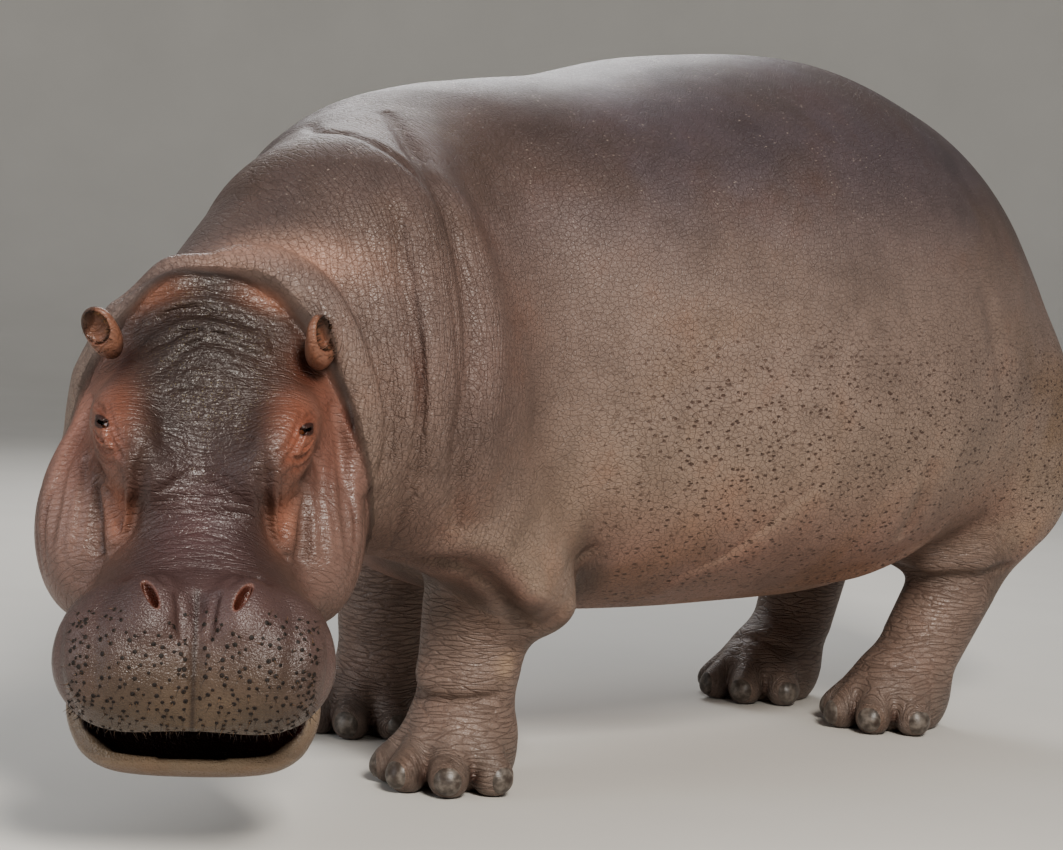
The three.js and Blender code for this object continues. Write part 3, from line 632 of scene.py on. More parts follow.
# across the forehead, across the bridge of the nose, down each cheek, and round the neck
family(HEAD, [(-0.08, -0.10, 0.02), (-0.02, -0.08, 0.03), (0.05, -0.09, 0.03)],
       [(-0.08, 0.09, 0.03), (0.01, 0.10, 0.05), (0.09, 0.07, 0.03)], 8, 0.005, 0.005, 21, 0.006)
family(HEAD, [(-0.085, -0.250, -0.02), (0, -0.230, -0.015), (0.085, -0.250, -0.02)],
       [(-0.10, -0.420, -0.03), (0, -0.405, -0.02), (0.10, -0.420, -0.03)], 10, 0.0032, 0.0045, 22)
for sign, seed in ((1, 23), (-1, 24)):
    family(HEAD, [(0.21 * sign, -0.10, -0.12), (0.215 * sign, -0.20, -0.15), (0.225 * sign, -0.30, -0.21)],
           [(0.25 * sign, -0.04, -0.14), (0.275 * sign, -0.15, -0.22), (0.27 * sign, -0.26, -0.30)],
           4, 0.006, 0.006, seed)
family(BODY, [(0.30, -1.22, 1.12), (0.42, -1.20, 1.0), (0.47, -1.16, 0.85), (0.46, -1.12, 0.70)],
       [(0.34, -0.98, 1.20), (0.47, -1.01, 1.02), (0.51, -1.02, 0.85), (0.49, -1.0, 0.68)],
       6, 0.005, 0.008, 25, 0.01)


def settled_paths():
    """Each fold and roll as (path, depth, width, sharp, fade), its path smoothed on the masses."""
    jobs = []
    for place, depth, width, points, sharp, fade, roll, twin in FOLDS:
        for sign in (1, -1) if twin else (1,):
            flip = np.array([sign, 1, 1])
            path = place.outside(points * flip)
            jobs.append((path, depth, width, sharp, fade))
            if roll:
                lift, spread, aside = roll
                beside = path + place.turned(np.array(aside) * flip)
                jobs.append((beside, lift, spread, ROLL_SHARP, ROLL_FADE))
    out = []
    for path, *numbers in jobs:
        smooth = smooth_path(path)
        out.append((settle(masses, smooth[:, None, :], rounds=4, step=0.004)[:, 0], *numbers))
    return out


def animal(clay):
    masses(clay)
    for path, depth, width, sharp, fade in FOLD_PATHS:
        clay.press(path, depth, width, sharp, fade)


FOLD_PATHS = settled_paths()

# ---- the lattice and the skin's surface ---------------------------------------------------------

STEP = 0.012  # the even grid's step, before the lens
FINEST = 0.38  # the share of it that is left at the head
LENS_MIDDLE = HEAD.outside((0, -0.25, -0.18))
BLOCK = 6  # steps along a block's side
SAFETY = 1.15  # a block is left out only where the skin is this many of its diagonals away
MARGIN = 0.03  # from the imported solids' box to the lattice's
NEAR_POINTS = 64  # points in a block of near points
NEAR_CELL = 0.06  # the side of the cube that such a block comes from


class Lattice:
    """Points that lie close round the head, further apart over the body, and closer near the floor.

    A point's distance from the lens is its distance on an even grid passed through a rising curve,
    and heights below the ankles are squeezed.
    """

    def __init__(self, low, high):
        # the step is FINEST up to 0.45 m away, whole by 1.1 m, and 1.3 times as long past 2.4 m
        r = np.linspace(0, 4, 400)
        share = FINEST + (1 - FINEST) * ease(r, 0.45, 1.1) + 0.3 * ease(r, 1.0, 2.4)
        even = np.concatenate([[0], np.cumsum(np.diff(r) * 2 / (share[1:] + share[:-1]))])
        self.real, self.even = r, even
        # upright, it is 0.62 of that below the ankles and whole from 0.30 m up
        z = np.linspace(-0.1, 1.8, 400)
        squeeze = 0.62 + 0.38 * ease(z, 0.12, 0.30)
        self.real_z = z
        self.even_z = np.concatenate([[0], np.cumsum(np.diff(z) * 2 / (squeeze[1:] + squeeze[:-1]))]) + z[0]
        corners = np.stack(np.meshgrid(*np.linspace(low, high, 9).T, indexing="ij"), -1).reshape(-1, 3)
        even_corners = self.to_even(corners)
        self.start = even_corners.min(0)
        self.blocks = np.ceil((even_corners.max(0) - self.start) / STEP / BLOCK).astype(int)

    def to_even(self, world):
        p = world.copy()
        p[..., 2] = np.interp(p[..., 2], self.real_z, self.even_z)
        away = p - LENS_MIDDLE
        r = np.linalg.norm(away, axis=-1, keepdims=True)
        return LENS_MIDDLE + away * np.interp(r, self.real, self.even) / np.maximum(r, 1e-9)

    def world(self, steps):
        away = self.start + STEP * np.asarray(steps, float) - LENS_MIDDLE
        r = np.linalg.norm(away, axis=-1, keepdims=True)
        p = LENS_MIDDLE + away * np.interp(r, self.even, self.real) / np.maximum(r, 1e-9)
        p[..., 2] = np.interp(p[..., 2], self.even_z, self.real_z)
        return p


def grid(counts):
    """All whole positions in a box of counts, x slowest."""
    return np.stack(np.meshgrid(*[np.arange(n) for n in counts], indexing="ij"), -1)


def field_on(lattice, form):
    """The field on the lattice: exact in blocks that the skin may cross, else the block's corner."""
    corners = grid(lattice.blocks + 1) * BLOCK
    world = lattice.world(corners)
    rough = Clay(world.reshape(-1, 1, 3))
    form(rough)
    value = rough.depth.reshape(world.shape[:3])
    size = np.linalg.norm(world[1:, 1:, 1:] - world[:-1, :-1, :-1], axis=-1) * SAFETY
    least, most = np.full(size.shape, np.inf), np.full(size.shape, -np.inf)
    for x, y, z in grid((2, 2, 2)).reshape(-1, 3):
        nx, ny, nz = size.shape
        corner = value[x : x + nx, y : y + ny, z : z + nz]
        least, most = np.minimum(least, corner), np.maximum(most, corner)
    crossed = np.argwhere((least < size) & (most > -size))
    field = value[:-1, :-1, :-1]
    for axis in range(3):
        field = np.repeat(field, BLOCK, axis)
    field = np.pad(field, ((0, 1),) * 3, mode="edge").astype(np.float32)
    inside = grid((BLOCK + 1,) * 3).reshape(-1, 3)

    def fill(part):
        at = part[:, None, :] * BLOCK + inside[None]
        clay = Clay(lattice.world(at))
        form(clay)
        field[at[..., 0], at[..., 1], at[..., 2]] = clay.depth

    in_parts(fill, crossed, 1200)
    return field


def in_parts(work, rows, size):
    """Work on rows in parts of about this size, on all cores, and the results in order."""
    parts = np.array_split(rows, max(1, len(rows) // size))
    with ThreadPoolExecutor() as pool:
        return list(pool.map(work, parts))


def surface_of(field):
    """The surface where a field changes sign, as lattice positions and quads.

    Each lattice cell that the surface crosses gets one vertex, the mean of the crossings on its
    edges, and each crossed lattice edge gets one quad between the four cells round it.
    """
    inside = field < 0
    nx, ny, nz = field.shape
    count = np.zeros((nx - 1, ny - 1, nz - 1), np.int8)
    corners = grid((2, 2, 2)).reshape(-1, 3)
    for x, y, z in corners:
        count += inside[x : nx - 1 + x, y : ny - 1 + y, z : nz - 1 + z]
    crossed = (count > 0) & (count < 8)
    number = np.full(crossed.shape, -1, np.int32)
    cells = np.argwhere(crossed)
    number[crossed] = np.arange(len(cells))
    total, hits = np.zeros((len(cells), 3)), np.zeros(len(cells))
    for corner in corners:
        for axis in np.flatnonzero(corner == 0):
            step = np.eye(3, dtype=int)[axis]
            a = field[tuple((cells + corner).T)]
            b = field[tuple((cells + corner + step).T)]
            cut = (a < 0) != (b < 0)
            share = np.where(cut, a / np.where(cut, a - b, 1), 0)
            total += np.where(cut[:, None], corner + share[:, None] * step, 0)
            hits += cut
    quads = []
    for axis in range(3):
        across, up = (axis + 1) % 3, (axis + 2) % 3
        low = [slice(1, n - 1) for n in field.shape]
        high = list(low)
        low[axis], high[axis] = slice(0, field.shape[axis] - 1), slice(1, field.shape[axis])
        first, second = inside[tuple(low)], inside[tuple(high)]
        edges = np.argwhere(first != second)
        leaving = first[tuple(edges.T)]
        base = edges + 1
        base[:, axis] -= 1
        a, b = np.eye(3, dtype=int)[across], np.eye(3, dtype=int)[up]
        quad = np.stack([number[tuple((base - shift).T)] for shift in (a + b, b, 0 * a, a)], 1)
        quad[~leaving] = quad[~leaving][:, ::-1]
        quads.append(quad)
    return cells + total / hits[:, None], np.concatenate(quads)


def in_blocks(points):
    """Points sorted into small near blocks, padded to a whole number, with the way back."""
    cell = np.floor((points - points.min(0)) / NEAR_CELL).astype(np.int64)
    order = np.argsort((cell[:, 0] * 512 + cell[:, 1]) * 512 + cell[:, 2], kind="stable")
    padded = np.concatenate([order, np.repeat(order[-1:], -len(order) % NEAR_POINTS)])
    back = np.empty(len(points), np.int64)
    back[order] = np.arange(len(points))
    return points[padded].reshape(-1, NEAR_POINTS, 3), lambda v: v.reshape(-1, *v.shape[2:])[back]


def skin_surface():
    """The skin's vertices and quads, each vertex settled on the field."""
    lattice = Lattice(np.array(cad_box[0]) - MARGIN, np.array(cad_box[1]) + MARGIN)
    steps, quads = surface_of(field_on(lattice, animal))
    blocks, back = in_blocks(lattice.world(steps))
    settled = in_parts(lambda part: settle(animal, part, rounds=1, step=0.0012, most=0.004), blocks, 400)
    return back(np.concatenate(settled)), quads


# ---- meshes -------------------------------------------------------------------------------------

SKIN_TRIANGLES = 150_000  # before the finer places


def mesh_of(name, vertices, faces):
    """A smooth mesh from arrays. Every face has the same number of corners."""
    mesh = bpy.data.meshes.new(name)
    count, corners = faces.shape
    mesh.vertices.add(len(vertices))
    mesh.vertices.foreach_set("co", np.ravel(vertices).astype(np.float32))
    mesh.loops.add(count * corners)
    mesh.loops.foreach_set("vertex_index", np.ravel(faces).astype(np.int32))
    mesh.polygons.add(count)
    mesh.polygons.foreach_set("loop_start", np.arange(0, count * corners, corners, dtype=np.int32))
    mesh.polygons.foreach_set("use_smooth", np.ones(count, bool))
    mesh.update(calc_edges=True)
    mesh.validate()
    return mesh


def piece_of(name, vertices, faces, material, replaced=()):
    """A piece of the animal: it rides on the one body and takes its finish from a slot."""
    piece = bpy.data.objects.new(name, mesh_of(name, vertices, faces))
    bpy.context.scene.collection.objects.link(piece)
    piece.data.materials.append(material)
    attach(piece, "root")
    if replaced:
        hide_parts(*replaced)
    return piece


def thinned(vertices, quads, most):
    """The same surface in at most this many triangles, with the fewest where it is flattest."""
    dense = bpy.data.objects.new("dense", mesh_of("dense", vertices, quads))
    bpy.context.scene.collection.objects.link(dense)
    thin = dense.modifiers.new("thin", "DECIMATE")
    thin.ratio = min(1, most / (2 * len(quads)))
    mesh = bpy.data.meshes.new_from_object(dense.evaluated_get(bpy.context.evaluated_depsgraph_get()))
    bpy.data.objects.remove(dense)
    mesh.calc_loop_triangles()
    points = np.empty(3 * len(mesh.vertices), np.float32)
    mesh.vertices.foreach_get("co", points)
    faces = np.empty(3 * len(mesh.loop_triangles), np.int32)
    mesh.loop_triangles.foreach_get("vertices", faces)
    bpy.data.meshes.remove(mesh)
    return points.reshape(-1, 3).astype(float), faces.reshape(-1, 3)


def normals_of(vertices, faces):
    """Each vertex's normal: the sum of its triangles' normals, by area."""
    a, b, c = (vertices[faces[:, i]] for i in range(3))
    areas = np.cross(b - a, c - a)
    total = np.zeros_like(vertices)
    for corner in range(3):
        for axis in range(3):
            total[:, axis] += np.bincount(faces[:, corner], areas[:, axis], len(vertices))
    return unit(total)


def split_near(vertices, faces, spots):
    """Triangles cut in four inside the spots, and in two on their edge: (vertices, faces).

    Every edge whose two ends lie in a spot gets a middle point, which is settled on the field.
    """
    marked = np.zeros(len(vertices), bool)
    for middle, radius in spots:
        marked |= lengths(vertices - middle) < radius
    ends = np.stack([faces, np.roll(faces, -1, 1)], -1)
    cut = marked[ends].all(-1)
    ends = np.sort(ends, -1)
    names, index = np.unique(ends[cut][:, 0] * len(vertices) + ends[cut][:, 1], return_inverse=True)
    middles = np.full(faces.shape, -1)
    middles[cut] = len(vertices) + index
    new = (vertices[names // len(vertices)] + vertices[names % len(vertices)]) / 2
    whole, once, all_round = (faces[cut.sum(1) == n] for n in (0, 1, 3))
    turns = np.argmax(cut[cut.sum(1) == 1], 1)
    a, b, c = (once[np.arange(len(once)), (turns + i) % 3] for i in range(3))
    m = middles[cut.sum(1) == 1].max(1)
    d, e, f = all_round.T
    p, q, r = middles[cut.sum(1) == 3].T
    parts = [(a, m, c), (m, b, c), (d, p, r), (p, e, q), (r, q, f), (p, q, r)]
    vertices = np.concatenate([vertices, new])
    near = np.flatnonzero(np.concatenate([marked, np.ones(len(new), bool)]))
    blocks, back = in_blocks(vertices[near])
    settled = in_parts(lambda part: settle(animal, part, rounds=2, step=0.0008, most=0.002), blocks, 50)
    vertices[near] = back(np.concatenate(settled))
    return vertices, np.concatenate([whole, *(np.stack(part, -1) for part in parts)])


def fine_skin():
    """The skin in triangles: thinned, then finer round the eyes, ears, nostrils and the nose's groove."""
    vertices, faces = thinned(*skin_surface(), SKIN_TRIANGLES)
    faces = faces.astype(np.int64)
    both = [np.array([1, 1, 1]), np.array([-1, 1, 1])]
    eyes = [HEAD.outside(np.array(EYE_AT) * side) for side in both]
    nostrils = [HEAD.outside(np.array(NOSTRIL["at"]) * side) for side in both]
    ears = [HEAD.outside(ear["at"]) for ear in EARS.values()]
    groove = ((0, -0.53, -0.01), (0, -0.59, -0.03), (0, -0.635, -0.08), (0, -0.65, -0.14))
    narrow = nostrils + [HEAD.outside(at) for at in groove]
    wide = [*((at, 0.065) for at in eyes + ears), *((at, 0.04) for at in narrow)]
    vertices, faces = split_near(vertices, faces, wide)
    return split_near(vertices, faces, [*((at, 0.045) for at in eyes), *((at, 0.03) for at in nostrils)])


def give(piece, name, values):
    """A vertex attribute: one number each, or a colour."""
    kind = "FLOAT" if values.ndim == 1 else "FLOAT_COLOR"
    layer = piece.data.attributes.new(name, kind, "POINT")
    if values.ndim == 1:
        layer.data.foreach_set("value", values.astype(np.float32))
    else:
        colours = np.concatenate([values, np.ones((len(values), 1))], 1)
        layer.data.foreach_set("color", colours.astype(np.float32).ravel())


def tone(code):
    """A colour from its six-digit code, as light."""
    parts = np.array([int(code[i : i + 2], 16) for i in (0, 2, 4)]) / 255
    return np.where(parts <= 0.04045, parts / 12.92, ((parts + 0.055) / 1.055) ** 2.4)


# ---- shaders ------------------------------------------------------------------------------------


class Value:
    """A shader socket that takes part in sums: each operator adds one Math node."""

    def __init__(self, shader, socket):
        self.shader, self.socket = shader, socket

    def __add__(self, other):
        return self.shader.math("ADD", self, other)

    def __sub__(self, other):
        return self.shader.math("SUBTRACT", self, other)

    def __rsub__(self, other):
        return self.shader.math("SUBTRACT", other, self)

    def __mul__(self, other):
        return self.shader.math("MULTIPLY", self, other)

    __radd__, __rmul__ = __add__, __mul__


class Shader:
    """A material and the few ways that its nodes are made."""

    def __init__(self, name):
        self.material = bpy.data.materials.new(name)
        self.material.use_nodes = True
        self.tree = self.material.node_tree
        self.tree.nodes.clear()

    def node(self, kind, settings=None, values=None):
        """Any node: its settings first, then its sockets, by name or number, as values or links."""
        node = self.tree.nodes.new("ShaderNode" + kind)
        for key, value in (settings or {}).items():
            setattr(node, key, value)
        for key, value in (values or {}).items():
            if isinstance(value, Value):
                self.tree.links.new(value.socket, node.inputs[key])
            else:
                node.inputs[key].default_value = value
        return node

    def out(self, kind, settings=None, values=None, output=0):
        return Value(self, self.node(kind, settings, values).outputs[output])

    def math(self, operation, *values):
        return self.out("Math", {"operation": operation}, dict(enumerate(values)))

    def attribute(self, name):
        return self.out("Attribute", {"attribute_name": name}, output="Fac")

    def colour(self, name):
        return self.out("Attribute", {"attribute_name": name}, output="Color")

    def place(self):
        return self.out("TexCoord", output="Object")

    def scaled(self, vector, factors):
        return self.out("VectorMath", {"operation": "MULTIPLY"}, {0: vector, 1: factors})

    def moved(self, vector, shift):
        return self.out("VectorMath", {"operation": "ADD"}, {0: vector, 1: shift})

    def vector(self, x, y, z):
        return self.out("CombineXYZ", values={0: x, 1: y, 2: z})

    def parts(self, vector):
        node = self.node("SeparateXYZ", values={0: vector})
        return [Value(self, output) for output in node.outputs]

    def noise(self, vector, scale, detail=3.0, roughness=0.55):
        values = {"Vector": vector, "Scale": scale, "Detail": detail, "Roughness": roughness}
        return self.out("TexNoise", values=values)

    def noise_shift(self, vector, scale, amount):
        """The vector, moved about by a coloured noise."""
        values = {"Vector": vector, "Scale": scale, "Detail": 2.0}
        shift = self.moved(self.out("TexNoise", values=values, output="Color"), (-0.5, -0.5, -0.5))
        return self.moved(vector, self.scaled(shift, (amount,) * 3))

    def cells(self, vector, scale, feature="F1"):
        return self.out("TexVoronoi", {"feature": feature}, {"Vector": vector, "Scale": scale}, "Distance")

    def edges(self, vector, scale, width):
        """0 on the edges between cells, rising to 1 over this width."""
        return self.rise(self.cells(vector, scale, "DISTANCE_TO_EDGE"), 0.0, width)

    def rise(self, value, low, high):
        """From 0 at low to 1 at high, or back down where low is the higher."""
        settings = {"interpolation_type": "SMOOTHSTEP", "clamp": True}
        if low > high:
            return 1 - self.rise(value, high, low)
        return self.out("MapRange", settings, {"Value": value, "From Min": low, "From Max": high})

    def mix(self, factor, first, second, blend="MIX"):
        first, second = (c if isinstance(c, Value) else (*c, 1) for c in (first, second))
        settings = {"data_type": "RGBA", "blend_type": blend}
        return self.out("Mix", settings, {0: factor, 6: first, 7: second}, output=2)

    def bump(self, height, distance, strength):
        return self.out("Bump", values={"Height": height, "Distance": distance, "Strength": strength})

    def finish(self, **sockets):
        """The surface, with its sockets named in words."""
        values = {name.replace("_", " "): value for name, value in sockets.items()}
        surface = self.out("BsdfPrincipled", values=values)
        self.node("OutputMaterial", values={"Surface": surface})
        return self.material


# ---- materials ----------------------------------------------------------------------------------


def hide_material():
    """Bare hide: painted tones, mottled, with a net of fine creases and pits that are darkened with painted
    shade, and pale scuffs.
    """
    s = Shader("hide")
    place, run = s.place(), s.attribute("run")
    gloss, pitted, lined, scuffed = (s.attribute(name) for name in ("gloss", "pitted", "lined", "scuffed"))
    netted, grained, lumpy = (s.attribute(name) for name in ("netted", "grained", "lumpy"))
    x, y, z = s.parts(place)
    bent = s.noise_shift(place, 11.0, 0.016)

    # creases: a net of small cells, and long ones that lie across the run of the body
    net = s.edges(s.scaled(bent, (1.0, 1.0, 1.3)), 78.0, 0.085)
    fine = s.edges(s.scaled(bent, (1.0, 1.0, 1.2)), 170.0, 0.16)
    along = s.vector(run * 105.0 + s.noise(place, 6.0, 1.0) * 4.0, x * 20.0 + z * 11.0, y * 17.0 - z * 15.0)
    strokes = s.edges(along, 1.0, 0.14)
    grain = s.noise(place, 300.0, 2.0)
    lumps = s.noise(bent, 62.0, 3.0, 0.6)
    cloud = s.noise(place, 4.5, 5.0, 0.62)
    patch = s.noise(place, 17.0, 3.0)

    # pits: short dashes scattered over the lower flank, dented and painted dark as shade; scuffs: pale ones
    # over the back
    dash = s.cells(s.scaled(bent, (1.0, 0.68, 1.35)), 64.0)
    dot = s.rise(dash + (grain - 0.5) * 0.35, 0.30, 0.16) * pitted * s.rise(patch, 0.30, 0.44)
    dull = s.cells(s.scaled(bent, (1.0, 1.0, 2.2)), 60.0)
    scuff = s.rise(dull, 0.17, 0.09) * scuffed * s.rise(patch, 0.44, 0.60)

    shade = s.vector(*[cloud * 1.1 + patch * 0.35 + 0.27] * 3)
    base = s.mix(1.0, s.colour("tint"), shade, "MULTIPLY")
    base = s.mix(s.rise(cloud, 0.52, 0.70) * 0.35, base, tone("d8b8a4"), "MULTIPLY")
    # painted shade: the lines of the creases, sunk by the bump, are darkened
    creased = (1 - net) * (netted * 0.30 + pitted * 0.14) + (1 - fine) * netted * 0.10
    base = s.mix(creased + (1 - strokes) * lined * 0.30, base, tone("3c2a24"))
    dust = s.rise(s.noise(place, 2.6, 3.0), 0.44, 0.62) * s.math("MAXIMUM", pitted, scuffed)
    base = s.mix(dust * 0.45, base, tone("e6d2a6"), "MULTIPLY")
    # painted shade in the pits
    base = s.mix(dot * 0.80, base, tone("3a2219"))
    base = s.mix(scuff * 0.5, base, tone("b8aa9c"))
    straw = s.cells(s.scaled(bent, (1.0, 1.6, 1.0)), 170.0)
    fleck = s.rise(straw, 0.20, 0.11) * lumpy * s.rise(patch, 0.42, 0.56)
    base = s.mix(fleck * 0.6, base, tone("94895c"))

    rough = 0.62 - gloss * 0.42 + (grain - 0.5) * 0.25 - patch * 0.10
    height = (net * 0.55 + fine * 0.35) * netted + strokes * lined * 1.3
    height = height + grain * grained + lumps * lumpy * 4.0 - dot * 1.2
    return s.finish(Base_Color=base, Roughness=rough, Normal=s.bump(height, 0.0016, 0.9))


def eye_material():
    """A wet dark brown eye with a wide pupil, rimmed by a reddish white."""
    s = Shader("eye")
    across, up = s.attribute("across"), s.attribute("up")
    radius = s.math("SQRT", across * across + up * up)
    fibres = s.noise(s.vector(s.math("ARCTAN2", up, across) * 3.0, radius * 0.5, 0.0), 9.0)
    iris = s.mix(fibres, tone("2a1409"), tone("6b3a1c"))
    white = s.mix(s.noise(s.place(), 260.0), tone("6a4a3c"), tone("8f6a58"))
    base = s.mix(s.rise(radius, 0.66, 0.74), iris, white)
    slit = s.math("SQRT", across * across * 1.4 + up * up * 5.0)
    base = s.mix(s.rise(slit, 0.40, 0.34), base, tone("050303"))
    return s.finish(Base_Color=base, Roughness=0.06, Coat_Weight=1.0, Coat_Roughness=0.02)


def nail_material():
    """Worn grey horn: growth lines, with darker and muddied patches."""
    s = Shader("nail")
    place = s.place()
    bands = s.noise(s.scaled(place, (40.0, 40.0, 260.0)), 1.0, 4.0)
    patches = s.noise(place, 60.0, 4.0)
    base = s.mix(s.rise(patches, 0.35, 0.7), tone("3f3833"), tone("7c746c"))
    base = s.mix(bands * 0.5, base, tone("5a4f47"))
    base = s.mix(s.rise(s.noise(place, 34.0), 0.52, 0.7) * 0.7, base, tone("33241b"))
    skin = s.bump(bands * 0.6 + patches, 0.0012, 0.7)
    return s.finish(Base_Color=base, Roughness=0.30 + patches * 0.22, Normal=skin)


def bristle_material():
    """Stiff dark hair with a lighter tip here and there."""
    s = Shader("bristle")
    base = s.mix(s.rise(s.noise(s.place(), 90.0), 0.45, 0.7), tone("1c120d"), tone("6e5238"))
    return s.finish(Base_Color=base, Roughness=0.45)


def pit_material():
    """The pit that a bristle stands in, as a flat disc: dark in the middle as painted shade of the hollow,
    and brown at its rim.
    """
    s = Shader("pit")
    base = s.mix(s.attribute("core"), tone("4c3a2e"), tone("140c08"))
    return s.finish(Base_Color=base, Roughness=0.7)


def floor_material():
    """A plain pale floor, barely mottled."""
    s = Shader("floor")
    base = s.mix(s.noise(s.place(), 1.3), tone("c9c6c0"), tone("d4d1cb"))
    return s.finish(Base_Color=base, Roughness=0.75)


# ---- painting the hide --------------------------------------------------------------------------


def spot(points, centre, radii, sharp=2.0):
    """A soft patch: exp(-q ^ sharp), with q the distance in radii."""
    q = np.linalg.norm((points - np.array(centre)) / np.array(radii), axis=-1)
    return np.exp(-(q**sharp))


def paint(layers, start):
    """Tones laid one over another, each by its own mask."""
    colour = np.tile(tone(start), (len(layers[0][0]), 1))
    for mask, code in layers:
        colour += np.clip(mask, 0, 1)[:, None] * (tone(code) - colour)
    return colour


def openness(points, normals, reach):
    """How open the air is over the skin: 1 where it is flat or round, towards 0 deep in a fold."""
    blocks, back = in_blocks(points + normals * reach)

    def measure(part):
        clay = Clay(part)
        animal(clay)
        return clay.depth

    return np.clip(back(np.concatenate(in_parts(measure, blocks, 400))) / reach, 0, 1)


def paint_head(points, open_air):
    """The head's tones, laid on in its own frame, with painted shade inside the mouth, on the inner side of
    the lip's rim and in the groove under the nose.
    """
    h = HEAD.inside(points)
    twin = np.abs(h) * [1, 0, 0] + h * [0, 1, 1]
    across, back, up = twin.T

    def within(centre, radii, edge=0.1, turn=None):
        """1 inside an ellipsoid, 0 past its edge."""
        p = twin - np.array(centre)
        if turn is not None:
            p = p @ turn_of(turn)
        return 1 - ease(lengths(p / np.array(radii)), 1, 1 + edge)

    lid_turn = turn_between(LID_LINE, EYE_OUT)
    lid = np.array(EYE_AT) + np.array(EYE_OUT) * (EYE_RADIUS + 0.002)
    front = 1 - ease(back, -0.50, -0.38)
    lip = front * (1 - ease(up, -0.262, -0.250))
    groove = np.exp(-((across / 0.0045) ** 2)) * (1 - ease(up, -0.015, 0.0)) * ease(up, -0.20, -0.17)
    width = np.interp(back, MOUTH["y"], MOUTH["half_width"], left=-1, right=0.1)
    inside = ease(width - across, -0.004, 0.002) * ease(up, -0.352, -0.344) * (1 - ease(up, -0.222, -0.200))
    layers = [
        (spot(twin, (0, -0.33, -0.02), (0.13, 0.13, 0.09)) * 0.9, "543e3f"),
        (spot(twin, (0.0, -0.51, 0.0), (0.22, 0.12, 0.10)), "5c4745"),
        (spot(twin, (0.0, -0.64, -0.13), (0.20, 0.09, 0.14)), "6c5a49"),
        (spot(twin, (0.215, -0.53, -0.13), (0.05, 0.12, 0.12)), "6e5a56"),
        (spot(twin, (0.22, -0.20, -0.25), (0.10, 0.22, 0.20)), "94756a"),
        (spot(twin, (0.20, -0.06, -0.12), (0.07, 0.12, 0.16)), "9c7062"),
        (spot(twin, (0.148, -0.165, 0.010), (0.047, 0.078, 0.050), 3.0), "96604c"),
        (spot(twin, (0.116, -0.228, 0.020), (0.012, 0.030, 0.020)) * 0.5, "2c1c14"),
        (spot(twin, (0.140, -0.265, -0.080), (0.030, 0.050, 0.055)), "b47c66"),
        (spot(twin, (0.190, 0.0, 0.020), (0.040, 0.045, 0.055)), "8c5c48"),
        (spot(twin, (0.110, 0.105, 0.060), (0.060, 0.030, 0.06)) * 0.85, "98654e"),
        (within((0.185, 0.01, 0.085), (0.045, 0.045, 0.06), 0.3) * 0.8, "8e6450"),
        (front * np.exp(-(((up + 0.222) / 0.013) ** 2)) * 0.8, "94806a"),
        (lip, "847264"),
        # the pale tan of the lip's rim is its own tone; kept off where the air is close, it leaves the
        # rim's inner side darker as painted shade
        (lip * ease(open_air, 0.4, 0.9) * ease(up, -0.335, -0.300), "a49078"),
        # painted shade: the hollow inside the lower lip is painted nearly black, with the dark red of its
        # flesh at the sides
        (inside, "200b08"),
        (inside * spot(h, (0.14, -0.50, -0.31), (0.06, 0.07, 0.03)), "4a1812"),
        (within(NOSTRIL["at"], np.multiply(NOSTRIL["radii"], [1.1, 1, 1]), 0.3, NOSTRIL["turn"]), "80584c"),
        # painted shade in the groove under the nose
        (front * groove * 0.7, "2a1c18"),
        (within(lid, (0.020, 0.0095, 0.018), 0.3, lid_turn), "3c221b"),
    ]
    return paint(layers, "3c302b") * 0.80, h, twin


